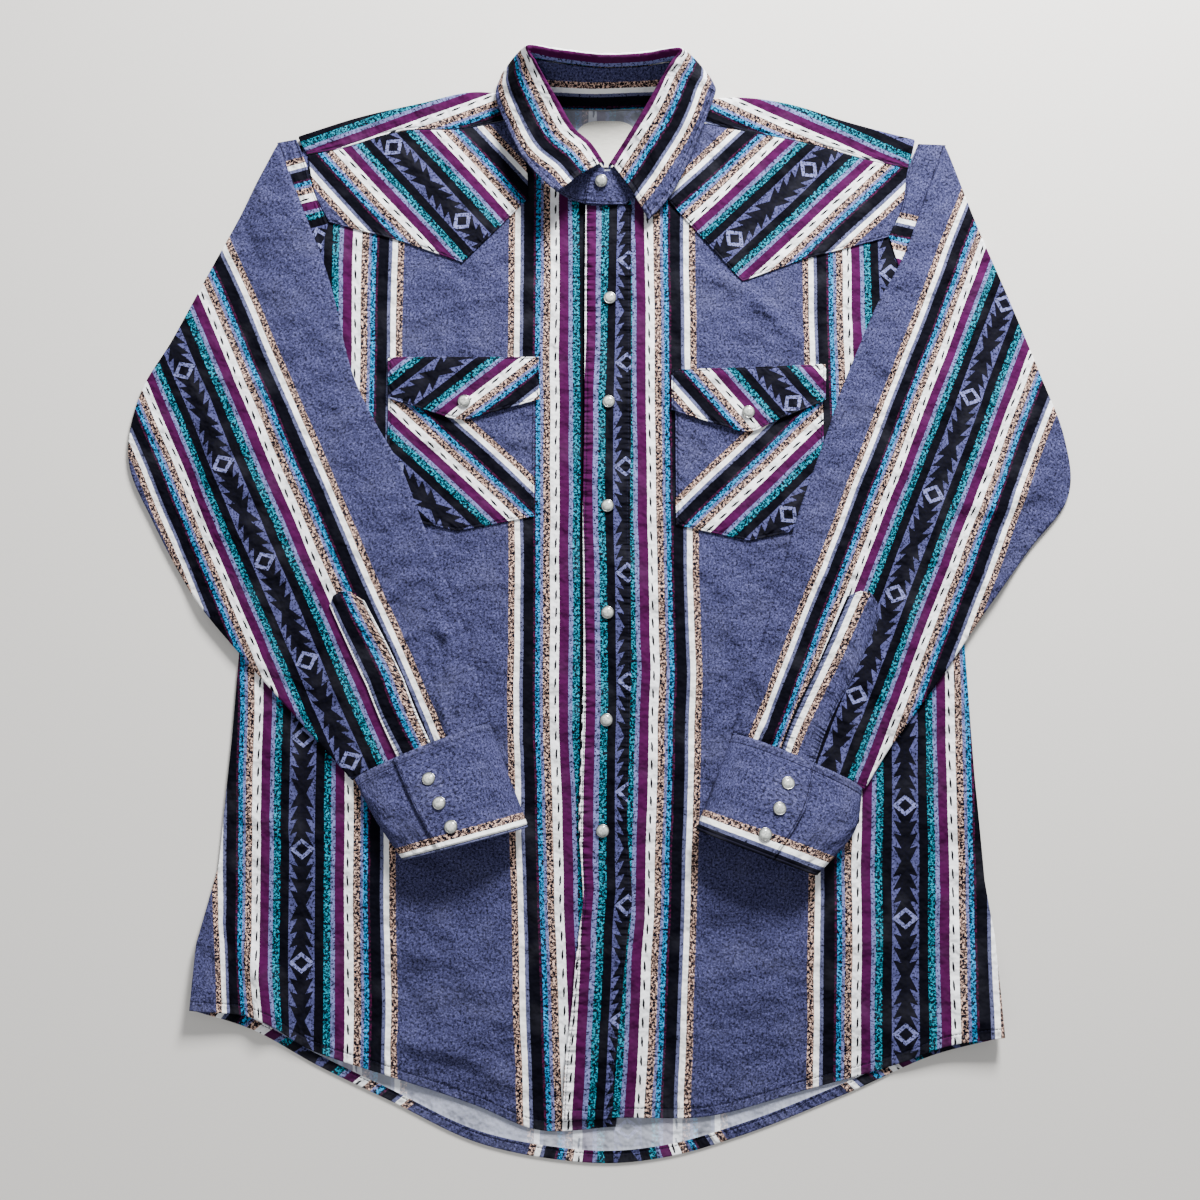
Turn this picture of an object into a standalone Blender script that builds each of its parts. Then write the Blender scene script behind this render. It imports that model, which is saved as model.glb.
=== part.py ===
"""Western snap shirt laid flat with its front up: every cut piece of cloth is a walled solid, every snap a turned one.

Sizes in the tables are millimetres, with the origin under the middle of the shirt, +X to the wearer's left, +Y to
the collar and +Z up. Each piece is an open surface worked out from a few edges or sections, which Solidify turns
into a wall. What lies on another piece reads the same height functions, one layer further up.
"""
import math

import bmesh
import bpy
import numpy as np
from mathutils import Vector

MM = 0.001
CLOTH = 1.2            # wall of one layer of the twill
GAP = 0.3              # clearance between two pieces
LAYER = CLOTH + GAP    # from the underside of one layer to the underside of the next
CUFF_WALL = 1.8        # two layers of twill with interlining between them
COLLAR_WALL = 1.4

# ---------------------------------------------------------------- outlines of the body, seen from above
BACK_SEAM_Y = 300      # seam between the back and its yoke
SIDE_RIGHT = [(-313, -327), (-311, -278), (-297, -218), (-290, -120), (-286, -40), (-280, 50), (-276, 130)]
SIDE_LEFT = [(308, -347), (305, -272), (299, -230), (294, -150), (290, -51), (284, 50), (279, 130)]
ARMHOLE_RIGHT = [(-276, 130), (-246, 158), (-230, 205), (-227, 277), (-240, 305), (-265, 373)]
ARMHOLE_LEFT = [(279, 130), (258, 155), (243, 200), (243, 262), (259, 304), (284, 371)]
SHOULDER_RIGHT = [(-251, 379), (-200, 396), (-150, 408), (-104, 418), (-78, 416)]
SHOULDER_LEFT = [(262, 376), (243, 381), (208, 391), (155, 408), (120, 413), (84, 411)]
BACK_NECK = [(-78, 411), (-62, 408), (0, 405), (58, 407), (84, 407)]
BACK_HEM = [(-313, -327), (-275, -339), (-215, -370), (-161, -395), (-90, -427), (-35, -438), (8, -441),
            (53, -436), (107, -421), (186, -391), (260, -360), (308, -347)]
FRONT_HEM_RIGHT = [(-313, -327), (-261, -334), (-226, -355), (-162, -376), (-93, -399), (-49, -416), (12, -414)]
FRONT_HEM_LEFT = [(-27, -408), (20, -407), (76, -407), (157, -387), (232, -366), (264, -354), (308, -347)]
FRONT_SEAM_RIGHT = [(-244, 363), (-221, 367), (-162, 384), (-117, 386), (-78, 393)]
FRONT_SEAM_LEFT = [(256, 351), (227, 357), (171, 373), (127, 382), (82, 391)]
YOKE_FOLD_RADIUS = 2.7 # the back yoke turns over the shoulder on this outer radius
SEAM_ALLOWANCE = 8     # how far a front runs on under the yoke's shoulder

# ---------------------------------------------------------------- closing edge, placket, yokes, pockets and flaps
CENTRE_RIGHT = [(12, -414), (20, -330), (24, -230), (24, 200), (22, 318)]
CENTRE_LEFT = [(-27, -408), (-25, -370), (-19, -320), (-11, -230), (-9, 211), (-10, 318)]
PLACKET_EDGE = [(-29, -408), (-27, -370), (-21, -320), (-19.3, -297), (-16.3, -270), (-13.3, -248), (-14.3, -222),
                (-16.6, -190), (-15.9, -160), (-14.5, -110), (-13.2, -60), (-13.4, 0), (-13.8, 60), (-12.8, 130),
                (-12.5, 240), (-12, 318)]
PLACKET_WIDTH = 38
NECK_RIGHT = [(-76, 401), (-66, 378), (-54, 357), (-39, 340), (-23, 328), (-6, 321), (22, 318)]
NECK_LEFT = [(79, 399), (61, 366), (51, 346), (38, 331), (18, 321), (-10, 318)]
LAP_START, LAP_END = 42, 48     # between these x the left front comes down from the right front
FRONT_RIGHT_COLUMNS = np.linspace(0, 1, 12)
FRONT_LEFT_COLUMNS = np.array([0, 0.09, 0.17, 0.235, 0.33, 0.44, 0.55, 0.66, 0.77, 0.885, 1])

YOKE_RIGHT = {"top": [(-243, 362), (-221, 366.2), (-162, 383.2), (-117, 384.8), (-78, 391.5)],
              "inner": [(-60, 324), (-61, 352), (-68, 372), (-78, 391.5)],
              "lower": [(-224, 304), (-162, 287), (-113, 269), (-60, 324)],
              "outer": [(-224, 304), (-236, 328), (-243, 362)]}
YOKE_LEFT = {"top": [(255, 350), (227, 356.5), (171, 372.5), (127, 381.5), (83, 390)],
             "inner": [(57, 322), (58, 349), (66, 366), (83, 390)],
             "lower": [(238, 291), (165, 271), (117, 253), (57, 322)],
             "outer": [(238, 291), (250, 318), (255, 350)]}
YOKE_POINT = 9 / 15    # share of the lower edge at which the point sits
STRIP_RIGHT = {"inner": [(-227, 303), (-239, 328), (-246, 352), (-253, 376)], "outer": ARMHOLE_RIGHT[3:]}
STRIP_LEFT = {"inner": [(242, 291), (254, 318), (258, 348), (265, 372)], "outer": ARMHOLE_LEFT[3:]}

POCKETS = {"right": {"left": -172, "right": -53, "top": 177, "corner": 57, "point": (-114, 45)},
           "left": {"left": 61, "right": 181, "top": 168, "corner": 50, "point": (120, 37)}}
FLAPS = {"right": {"left": (-173, 189), "right": (-50, 189), "lower": [(-172, 154), (-138, 143), (-112, 136),
                                                                      (-91, 141), (-49, 153)]},
         "left": {"left": (58, 178), "right": (184, 183), "lower": [(58, 144), (99, 131), (121, 126), (142, 135),
                                                                    (183, 152)]}}
FLAP_RAMP = 7          # the flap climbs onto the pocket over this length below its seam

# folds on the fronts: a soft ridge from one point to another
FOLDS = [{"a": (-170, -372), "b": (-80, -335), "height": 2.6, "width": 26},
         {"a": (110, -330), "b": (210, -270), "height": 2.0, "width": 30},
         {"a": (-125, -285), "b": (-80, -330), "height": 1.4, "width": 24}]
# corners of the side seams that stand off the surface: front and back lift together
LIFTS = [{"at": (-322, -345), "height": 8.0, "reach": 80}, {"at": (322, -362), "height": 8.0, "reach": 80}]
FRONT_PARTS = (1.6, 45)     # the fronts part from the back there: this much higher, over this much more reach

# ---------------------------------------------------------------- sleeves: one row a section, from armhole to cuff
SLEEVE_COLUMNS = ("outer_x", "outer_y", "inner_x", "inner_y", "crown")
SLEEVE_RIGHT = [(-267.5, 372, -230, 273, 1.2), (-284, 338, -221, 247, 1.8), (-304, 297, -214, 222, 2.2),
                (-324, 257, -208, 197, 2.4), (-350, 204, -198, 166, 2.4), (-374.5, 158, -181, 132, 2.4),
                (-381.5, 104, -160, 96, 2.4), (-360, 54, -144, 56, 2.4), (-326, -5, -122, 3, 2.2),
                (-285, -54, -106, -39, 2.0), (-237, -106, -94, -84, 1.8), (-194, -153, -86, -109, 1.8)]
SLEEVE_LEFT = [(286.5, 370, 246, 259, 1.2), (299, 336, 229, 235, 1.8), (318, 285, 210, 193, 2.2),
               (338, 233, 196, 160, 2.4), (359, 175, 182, 121, 2.4), (376.5, 122, 168, 84, 2.4),
               (377.5, 74, 156, 50, 2.4), (344, 30, 146, 14, 2.4), (307, -19, 134, -26, 2.2),
               (270, -72, 121, -66, 2.0), (231, -123, 111, -93, 1.8), (207, -160, 104, -117, 1.8)]
SLEEVE_CLEARANCE = 0.15
SLEEVE_ABOVE_FLOOR = 0.03
SLEEVE_EDGE_GAP = 1.2  # clear height inside a sleeve's folded edges
BRIDGE = 26            # a sleeve stays level for this far outside the body before it comes down
DRAPE = 28             # and reaches the floor within this much more

# ---------------------------------------------------------------- cuffs: seam, middle and mouth
CUFF_COLUMNS = ("outer_x", "outer_y", "inner_x", "inner_y", "height")
CUFF_RIGHT = [(-194, -153, -86, -109, 8.0), (-176, -184, -70, -150, 19.0), (-154, -214, -55, -188, 26.0)]
CUFF_LEFT = [(207, -160, 104, -117, 8.0), (199, -193, 88, -155, 19.0), (169, -226, 74, -190, 26.0)]
CUFF_FLAT_SHARE = 0.35        # share of a cuff's height that lies under its widest line
# where the lapping end and the end under it lie, across from the outer side
CUFF_LAP = {"right": {"end": 0.34, "under": 0.70}, "left": {"end": 0.41, "under": 0.70}}
CUFF_CLEARANCE = 0.05
CUFF_PITCH = CUFF_WALL + GAP + 0.4        # from the strip's first pass to its second
CUFF_BUTT = 0.5               # clearance between sleeve end and cuff
CUFF_SNAPS = {"right": {"across": 0.49, "along": (0.28, 0.54, 0.80)},
              "left": {"across": 0.53, "along": (0.26, 0.53, 0.81)}}

# ---------------------------------------------------------------- sleeve plackets, as shares of the sleeve
TOWER_CLEARANCE = 0.4
TOWERS = {"right": {"top": (0.756, 0.741, 0.735, 0.736, 0.751), "to": 0.99, "outer": (0.505, 0.45, 0.345),
                    "inner": (0.65, 0.643, 0.585)},
          "left": {"top": (0.734, 0.708, 0.692, 0.688, 0.695), "to": 0.99, "outer": (0.487, 0.453, 0.395),
                   "inner": (0.683, 0.678, 0.652)}}

# ---------------------------------------------------------------- collar: a row a station, round from right to left
COLLAR_COLUMNS = ("neck_x", "neck_y", "neck_z", "fold_x", "fold_y", "fold_z", "edge_x", "edge_y", "edge_z")
COLLAR = [(-8, 317, 6.9, 3, 349, 17, -34, 318, 30),
          (-27, 324, 5.8, -8, 363, 23, -47, 330, 28),
          (-43, 337, 5.3, -22, 374, 28, -63, 351, 24),
          (-58, 356, 5.4, -35, 395, 33, -76, 379, 18),
          (-71, 390, 6.5, -48, 417, 37, -86, 407, 12),
          (-66, 399, 5.0, -53.5, 427, 39.4, -84, 424, 9),
          (-57, 404, 3.0, -58, 437, 41, -75, 437.5, 4),
          (-34, 404, 2.3, -32, 433, 42, -35, 439.6, 1.6),
          (2, 403, 2.3, 0, 429, 42, 2, 439.2, 1.6),
          (38, 404, 2.3, 32, 430, 42, 40, 439.6, 1.6),
          (58, 403, 3.0, 64, 435, 40.5, 82, 437, 4),
          (64, 397, 5.0, 59, 426, 38.5, 95, 420, 10.5),
          (77, 391, 6.6, 51, 414, 35, 94, 407, 11),
          (62, 364, 5.5, 39, 394, 29, 79, 368, 11),
          (52, 344, 5.4, 28, 377, 24, 67, 340, 10.5),
          (38, 329, 6.0, 17, 361, 19, 55, 320, 10),
          (20, 318, 7.0, 8, 348, 16, 40, 303, 9.5)]
COLLAR_STATIONS = 33
SEAM_GAP = 1.3         # between the walls of stand and leaf along their seam
COLLAR_ROLL = 7        # how far down inside the fold the stand's top seam lies
ROLL_AT_ENDS = 0.5     # and at the front, where the leaf starts on the stand's top
ROLL_GROWS_OVER = 5    # stations
FOLD_RADIUS = 2.4
LEAF_BULGE = 1.6       # the leaf arches outward by this much between fold and edge
STAND_LAP_UNDER = [(-4, 317, 6.8, 4, 343, 12.0), (22, 318, 6.8, 16, 343, 11.4)]
STAND_LAP_OVER = [(2, 317, 8.9, 0, 343, 14.2), (-14, 318, 9.0, -9, 343, 14.8)]

LABEL = {"x": (-26, 32), "y": (352, 397), "arch": 9, "wall": 1.0}

# ---------------------------------------------------------------- snaps: a turned cap on a thin metal rim
SNAP_PROFILE = [(0.0, 0.0), (5.2, 0.0), (5.2, 0.9), (4.5, 1.5), (3.1, 2.5), (0.0, 2.9)]
SNAP_STEPS = 12
NECK_SNAP = {"at": (1, 335, 13.6), "axis": (0.0, -0.2, 1.0)}
FRONT_SNAPS = [(8, 238), (7, 151), (6, 65), (6, -21), (5, -106), (2, -192)]
CUFF_SNAP_SINK = 0.1   # the cuff's flat facets lie this much inside its outline
FLAP_SNAPS = {"right": (-110, 151), "left": (120, 142)}

COLOURS = {"plain": (0.12, 0.115, 0.22), "striped": (0.10, 0.10, 0.15), "label": (0.86, 0.85, 0.8),
           "pearl": (0.8, 0.78, 0.72)}


# ================================================================ curves and surfaces
def through(points, shares, smooth=True, by_length=True):
    """Points along a curve through the given ones, at shares of its length in plan or of the number of rows.

    A count stands for that many even shares. Between two rows each column is a cubic with the rows' mean slopes,
    or a straight run if it isn't smooth.
    """
    rows = np.array(points, float)
    steps = np.linalg.norm(np.diff(rows[:, :2], axis=0), axis=1) if by_length else np.ones(len(rows) - 1)
    knots = np.concatenate([[0.0], np.cumsum(steps)])
    at = knots[-1] * (np.linspace(0, 1, shares) if isinstance(shares, int) else shares)
    if not smooth:
        return np.stack([np.interp(at, knots, column) for column in rows.T], axis=1)
    slopes = np.gradient(rows, knots, axis=0)
    cell = np.clip(np.searchsorted(knots, at, side="right") - 1, 0, len(knots) - 2)
    width = (knots[cell + 1] - knots[cell])[:, None]
    t = ((at - knots[cell])[:, None]) / width
    return ((2 * t**3 - 3 * t**2 + 1) * rows[cell] + (t**3 - 2 * t**2 + t) * width * slopes[cell]
            + (3 * t**2 - 2 * t**3) * rows[cell + 1] + (t**3 - t**2) * width * slopes[cell + 1])


def cornered(points, shares, corner, at):
    """Points along straight runs at the given shares, with the corner point exactly at the share named."""
    before = through(points[:corner + 1], shares[shares <= at] / at, smooth=False)
    after = through(points[corner:], (shares[shares >= at] - at) / (1 - at), smooth=False)
    return np.concatenate([before, after[1:]])


def patch(lower, upper, left, right, shares=None):
    """A grid that fills four edges: rows run from lower to upper, columns from left to right at even or given shares."""
    u = (np.linspace(0, 1, len(lower)) if shares is None else shares)[None, :, None]
    v = np.linspace(0, 1, len(left))[:, None, None]
    corners = ((1 - u) * (1 - v) * lower[0] + u * (1 - v) * lower[-1] + (1 - u) * v * upper[0] + u * v * upper[-1])
    return (1 - v) * lower[None] + v * upper[None] + (1 - u) * left[:, None] + u * right[:, None] - corners


def smoothstep(x, low, high):
    """0 below low, 1 above high and an even slope between them."""
    t = np.clip((np.asarray(x, float) - low) / (high - low), 0, 1)
    return t * t * (3 - 2 * t)


def distance_to_run(x, y, a, b):
    """Distance of each point from the straight run between a and b."""
    (ax, ay), (bx, by) = a, b
    t = np.clip(((x - ax) * (bx - ax) + (y - ay) * (by - ay)) / ((bx - ax)**2 + (by - ay)**2), 0, 1)
    return np.hypot(x - ax - t * (bx - ax), y - ay - t * (by - ay))


def inside_distance(x, y, outline):
    """Signed distance from a closed outline: positive inside it."""
    nearest = np.full(np.shape(x), np.inf)
    crossings = np.zeros(np.shape(x), int)
    for a, b in zip(outline, outline[1:] + outline[:1]):
        nearest = np.minimum(nearest, distance_to_run(x, y, a, b))
        if a[1] != b[1]:
            meets = (a[1] > y) != (b[1] > y)
            crossings += meets & (x < (b[0] - a[0]) * (y - a[1]) / (b[1] - a[1]) + a[0])
    return np.where(crossings % 2 == 1, nearest, -nearest)


BODY_OUTLINE = (SIDE_RIGHT + ARMHOLE_RIGHT[1:] + SHOULDER_RIGHT[1:] + SHOULDER_LEFT[::-1] + ARMHOLE_LEFT[::-1][1:]
                + SIDE_LEFT[::-1][1:] + BACK_HEM[::-1][1:-1])


# ================================================================ heights
def ground(x, y, more_height=0.0, more_reach=0.0):
    """How far the shirt's lowest layer stands off the surface at the lifted corners of the hem."""
    height = np.zeros(np.shape(x))
    for lift in LIFTS:
        away = np.hypot(x - lift["at"][0], y - lift["at"][1])
        reach = lift["reach"] + more_reach
        height = height + (lift["height"] + more_height) * smoothstep(reach - away, 0, reach)
    return height


def fold_height(x, y):
    """The ridges on the fronts."""
    height = np.zeros(np.shape(x))
    for fold in FOLDS:
        height = height + fold["height"] * np.exp(-(distance_to_run(x, y, fold["a"], fold["b"]) / fold["width"])**2)
    return height


def layer_height(x, y, layers):
    """Underside of the piece that has this many layers below it, on the fronts."""
    return ground(x, y, *FRONT_PARTS) + fold_height(x, y) + layers * LAYER


def lap_layers(x):
    """Layers under the left front: the back, and the right front where it is lapped."""
    return np.interp(x, (LAP_START, LAP_END), (2, 1))


def on_front(side, x, y, layers=1):
    """Underside of a piece that lies this many layers up on the right or left front."""
    under = layers + (lap_layers(x) - 1 if side == "left" else 0)
    return layer_height(x, y, under + 1)


def under_sleeve(x, y):
    """Lowest outer surface of a sleeve: over the body's layers and pockets, and down to the floor beyond them."""
    over_body = smoothstep(inside_distance(x, y, BODY_OUTLINE), -BRIDGE - DRAPE, -BRIDGE)
    height = (2 * LAYER + SLEEVE_CLEARANCE) * over_body + fold_height(x, y)
    for pocket in POCKETS.values():
        middle = ((pocket["left"] + pocket["right"]) / 2, (pocket["top"] + pocket["corner"]) / 2)
        half = ((pocket["right"] - pocket["left"]) / 2, (pocket["top"] - pocket["corner"]) / 2)
        away = np.hypot(np.maximum(abs(x - middle[0]) - half[0], 0), np.maximum(abs(y - middle[1]) - half[1], 0))
        height = height + LAYER * smoothstep(-away, -BRIDGE - DRAPE, -BRIDGE)
    return height


# ================================================================ making objects
def clear_scene():
    """Empty the scene."""
    for obj in list(bpy.data.objects):
        bpy.data.objects.remove(obj, do_unlink=True)


def make_material(name, colour, roughness, metallic=0.0):
    """A Principled material of one colour."""
    material = bpy.data.materials.new(name)
    material.use_nodes = True
    shader = material.node_tree.nodes["Principled BSDF"]
    shader.inputs["Base Color"].default_value = (*colour, 1.0)
    shader.inputs["Roughness"].default_value = roughness
    shader.inputs["Metallic"].default_value = metallic
    return material


def add_object(name, points, faces, material):
    """A mesh object in the shirt's collection, from points in millimetres."""
    mesh = bpy.data.meshes.new(name)
    mesh.from_pydata((np.asarray(points, float) * MM).tolist(), [], faces)
    mesh.update()
    obj = bpy.data.objects.new(name, mesh)
    obj.data.materials.append(material)
    bpy.data.collections["western_snap_shirt"].objects.link(obj)
    return obj


def grid_faces(rows, columns, start=0, closed=False):
    """Quads of a grid, and across its last and first column if it is closed."""
    last = columns if closed else columns - 1
    return [(start + r * columns + c, start + r * columns + (c + 1) % columns,
             start + (r + 1) * columns + (c + 1) % columns, start + (r + 1) * columns + c)
            for r in range(rows - 1) for c in range(last)]


def wall(obj, thickness, grow):
    """Give an open surface its thickness, on the side its faces point to (grow 1) or behind them (grow -1)."""
    solid = obj.modifiers.new("wall", "SOLIDIFY")
    solid.thickness = thickness * MM
    solid.offset = grow
    solid.use_even_offset = False
    return obj


def cloth(name, grid, material, thickness=CLOTH, grow=1, closed=False):
    """A piece of cloth from a grid of points (rows, columns, xyz)."""
    rows, columns = grid.shape[:2]
    obj = add_object(name, grid.reshape(-1, 3), grid_faces(rows, columns, closed=closed), material)
    return wall(obj, thickness, grow)


def lay(grid, height):
    """Stand a flat grid of x and y on a height function of them."""
    return np.dstack([grid, height(grid[..., 0], grid[..., 1])])


# ================================================================ pieces
def make_back(material):
    """The back: one panel on the floor, from the tail to its yoke."""
    rows, columns = 25, 19
    right = through(SIDE_RIGHT + ARMHOLE_RIGHT[1:5], rows, smooth=False)
    left = through(SIDE_LEFT + ARMHOLE_LEFT[1:5], rows, smooth=False)
    right[-1] = (right[-1][0], BACK_SEAM_Y - GAP)
    left[-1] = (left[-1][0], BACK_SEAM_Y - GAP)
    top = np.linspace(right[-1], left[-1], columns)
    grid = patch(through(BACK_HEM, columns), top, right, left)
    return cloth("back", lay(grid, ground), material)


def make_back_yoke(material):
    """The back yoke: flat on the floor behind, then over each shoulder and down to the front seam."""
    fold_radius, top_height = YOKE_FOLD_RADIUS, 2 * YOKE_FOLD_RADIUS
    columns, arc_steps, front_rows = {"right": 9, "neck": 9, "left": 9}, 4, 4
    edges = {"right": (SHOULDER_RIGHT, FRONT_SEAM_RIGHT), "left": (SHOULDER_LEFT[::-1], FRONT_SEAM_LEFT[::-1])}
    points, faces = [], []

    def add(grid):
        faces.extend(grid_faces(*grid.shape[:2], start=len(points)))
        points.extend(grid.reshape(-1, 3).tolist())

    upper = {side: through(edge[0], columns[side]) - (0, fold_radius) for side, edge in edges.items()}
    neck = through([tuple(upper["right"][-1])] + BACK_NECK[1:-1] + [tuple(upper["left"][0])], columns["neck"])
    top = np.concatenate([upper["right"], neck[1:-1], upper["left"]])
    lower = np.linspace((-238, BACK_SEAM_Y), (257, BACK_SEAM_Y), len(top))
    rows = 5
    back = patch(lower, top, np.linspace(lower[0], top[0], rows), np.linspace(lower[-1], top[-1], rows))
    add(lay(back, lambda x, y: np.zeros(np.shape(x))))
    for side, (_, seam) in edges.items():
        start = upper[side]
        end = through(seam, columns[side])
        angle = np.linspace(0, math.pi, arc_steps + 1)[:, None]
        turn = np.dstack([np.repeat(start[None, :, 0], arc_steps + 1, axis=0),
                          start[None, :, 1] + fold_radius * np.sin(angle),
                          fold_radius * (1 - np.cos(angle)) + np.zeros_like(start[None, :, 0])])
        share = np.linspace(0, 1, front_rows)[:, None]
        end_top = 3 * LAYER - GAP
        down = np.dstack([start[None, :, 0] + share * (end[:, 0] - start[:, 0])[None],
                          start[None, :, 1] + share * (end[:, 1] - start[:, 1])[None],
                          top_height + (end_top - top_height) * smoothstep(share, 0, 1) + 0 * start[None, :, 0]])
        add(np.concatenate([turn, down[1:]]))
    obj = add_object("back_yoke", points, faces, material)
    weld(obj)
    return wall(obj, CLOTH, -1)


def weld(obj):
    """Join the points that two grids share."""
    mesh = bmesh.new()
    mesh.from_mesh(obj.data)
    bmesh.ops.remove_doubles(mesh, verts=mesh.verts, dist=1e-5)
    bmesh.ops.recalc_face_normals(mesh, faces=mesh.faces)
    mesh.to_mesh(obj.data)
    mesh.free()


def make_fronts(material):
    """Both fronts: the left one climbs onto the right one where it laps over it."""
    rows = 27
    seam_right = ARMHOLE_RIGHT[-1:] + [(x, y + SEAM_ALLOWANCE) for x, y in FRONT_SEAM_RIGHT]
    seam_left = ARMHOLE_LEFT[-1:] + [(x, y + SEAM_ALLOWANCE) for x, y in FRONT_SEAM_LEFT]
    side = through(SIDE_RIGHT + ARMHOLE_RIGHT[1:], rows, smooth=False)
    columns = FRONT_RIGHT_COLUMNS
    top = cornered(seam_right + NECK_RIGHT[1:], columns, len(seam_right) - 1, columns[6])
    grid = patch(through(FRONT_HEM_RIGHT, columns), top, side, through(CENTRE_RIGHT, rows), columns)
    cloth("front_right", lay(grid, lambda x, y: layer_height(x, y, 1)), material)

    side = through(SIDE_LEFT + ARMHOLE_LEFT[1:], rows, smooth=False)
    columns = FRONT_LEFT_COLUMNS
    top = cornered(NECK_LEFT[::-1] + seam_left[::-1][1:], columns, len(NECK_LEFT) - 1, columns[5])
    grid = patch(through(FRONT_HEM_LEFT, columns), top, through(CENTRE_LEFT, rows), side, columns)
    cloth("front_left", lay(grid, lambda x, y: layer_height(x, y, lap_layers(x))), material)


def make_placket(material):
    """The band along the left front's closing edge."""
    rows = 27
    edge = through(PLACKET_EDGE, rows)
    grid = np.stack([edge + (share * PLACKET_WIDTH, 0) for share in np.linspace(0, 1, 4)], axis=1)
    return cloth("front_placket", lay(grid, lambda x, y: on_front("left", x, y, 1)), material)


def make_front_yoke(side, shape, material):
    """A pointed western yoke on a front."""
    columns, rows = 16, 6
    lower = cornered(shape["lower"], np.linspace(0, 1, columns), 2, YOKE_POINT)
    grid = patch(lower, through(shape["top"], columns), through(shape["outer"], rows), through(shape["inner"], rows))
    if side == "left":
        grid = grid[:, ::-1]
    return cloth(f"front_yoke_{side}", lay(grid, lambda x, y: on_front(side, x, y, 1)), material)


def make_armhole_strip(side, shape, material):
    """The narrow band between a front yoke and the sleeve seam."""
    rows = 9
    inner = through(shape["inner"], rows)
    outer = through(shape["outer"], rows, smooth=False)
    pair = (outer, inner) if side == "right" else (inner, outer)
    grid = np.stack([pair[0] + share * (pair[1] - pair[0]) for share in (0.0, 0.5, 1.0)], axis=1)
    return cloth(f"armhole_strip_{side}", lay(grid, lambda x, y: on_front(side, x, y, 1)), material)


def make_pocket(side, size, material):
    """A chest pocket: square at the top, pointed at the bottom."""
    columns, rows = 9, 7
    corners = [(size["left"], size["corner"]), size["point"], (size["right"], size["corner"])]
    lower = cornered(corners, np.linspace(0, 1, columns), 1, 0.5)
    upper = np.linspace((size["left"], size["top"]), (size["right"], size["top"]), columns)
    grid = patch(lower, upper, np.linspace(lower[0], upper[0], rows), np.linspace(lower[-1], upper[-1], rows))
    return cloth(f"pocket_{side}", lay(grid, lambda x, y: on_front(side, x, y, 1)), material)


def flap_height(side, x, y):
    """Underside of a flap: on the front at its seam, on the pocket below."""
    left, right = FLAPS[side]["left"], FLAPS[side]["right"]
    seam = left[1] + (x - left[0]) * (right[1] - left[1]) / (right[0] - left[0])
    climb = smoothstep(seam - y, 0, FLAP_RAMP)
    return on_front(side, x, y, 1) + climb * LAYER


def make_flap(side, size, material):
    """A pocket flap with a point in the middle of its lower edge."""
    columns = 13
    lower = through(size["lower"], columns)
    upper = np.linspace(size["left"], size["right"], columns)
    share = np.array([0, 0.3, 0.6, 0.8, 1.0])[:, None, None]
    grid = lower[None] + share * (upper - lower)[None]
    return cloth(f"pocket_flap_{side}", lay(grid, lambda x, y: flap_height(side, x, y)), material)


def sleeve_sections(table, count):
    """The sleeve's sections, evenly spaced: outer point, inner point and crown of each."""
    rows = through(table, count, by_length=False)
    return rows[:, 0:2], rows[:, 2:4], rows[:, 4]


def sleeve_top(table, along, across):
    """A point on top of the sleeve, from its share along the sleeve and across from its outer to its inner edge."""
    count = 201
    outer, inner, crown = sleeve_sections(table, count)
    shares = np.linspace(0, 1, count)
    pick = lambda values: np.stack([np.interp(along, shares, column) for column in values.T], axis=-1)
    o, i, c = pick(outer), pick(inner), np.interp(along, shares, crown)
    place = o + (i - o) * across[..., None]
    height = under_sleeve(place[..., 0], place[..., 1]) + SLEEVE_EDGE_GAP + c * np.sin(np.pi * across) + 2 * CLOTH
    return np.concatenate([place, height[..., None]], axis=-1)


def make_sleeve(side, table, material):
    """A sleeve: a flattened tube whose inner surface is lofted through its sections."""
    sections, flat, turn = 21, 10, 3
    outer, inner, crown = sleeve_sections(table, sections)
    rings = []
    for o, i, c in zip(outer, inner, crown):
        width = np.linalg.norm(i - o)
        radius = SLEEVE_EDGE_GAP / 2
        start, end = (CLOTH + radius) / width, 1 - (CLOTH + radius) / width
        across = np.linspace(start, end, flat)
        place = o + (i - o) * across[:, None]
        low = under_sleeve(place[:, 0], place[:, 1]) + CLOTH + SLEEVE_ABOVE_FLOOR
        high = low + SLEEVE_EDGE_GAP + c * np.sin(np.pi * (across - start) / (end - start))
        angle = np.linspace(0, math.pi, turn + 2)[1:-1]
        reach = (i - o) / width * radius
        near = place[-1] + np.sin(angle)[:, None] * reach
        far = place[0] - np.sin(angle)[:, None] * reach
        near_z = low[-1] + radius * (1 - np.cos(angle))
        far_z = low[0] + radius * (1 + np.cos(angle))
        ring = np.concatenate([np.column_stack([place, low]), np.column_stack([near, near_z]),
                               np.column_stack([place[::-1], high[::-1]]), np.column_stack([far, far_z])])
        rings.append(ring)
    grid = np.array(rings)
    return cloth(f"sleeve_{side}", grid, material, grow=SLEEVE_GROW[side], closed=True)


SLEEVE_GROW = {"right": 1, "left": -1}


def make_tower(side, shape, table, material):
    """A pointed placket on the sleeve's top, from its tip to the cuff."""
    rows = 8
    share = np.linspace(0, 1, rows)
    top = np.array(shape["top"])
    outer = np.interp(share, (0, 0.5, 1), shape["outer"])
    inner = np.interp(share, (0, 0.5, 1), shape["inner"])
    across = outer[:, None] + (inner - outer)[:, None] * np.linspace(0, 1, len(top))
    along = top + (shape["to"] - top) * share[:, None]
    grid = sleeve_top(table, along, across)
    grid[..., 2] += TOWER_CLEARANCE
    return cloth(f"sleeve_placket_{side}", grid, material, grow=-SLEEVE_GROW[side])


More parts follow.
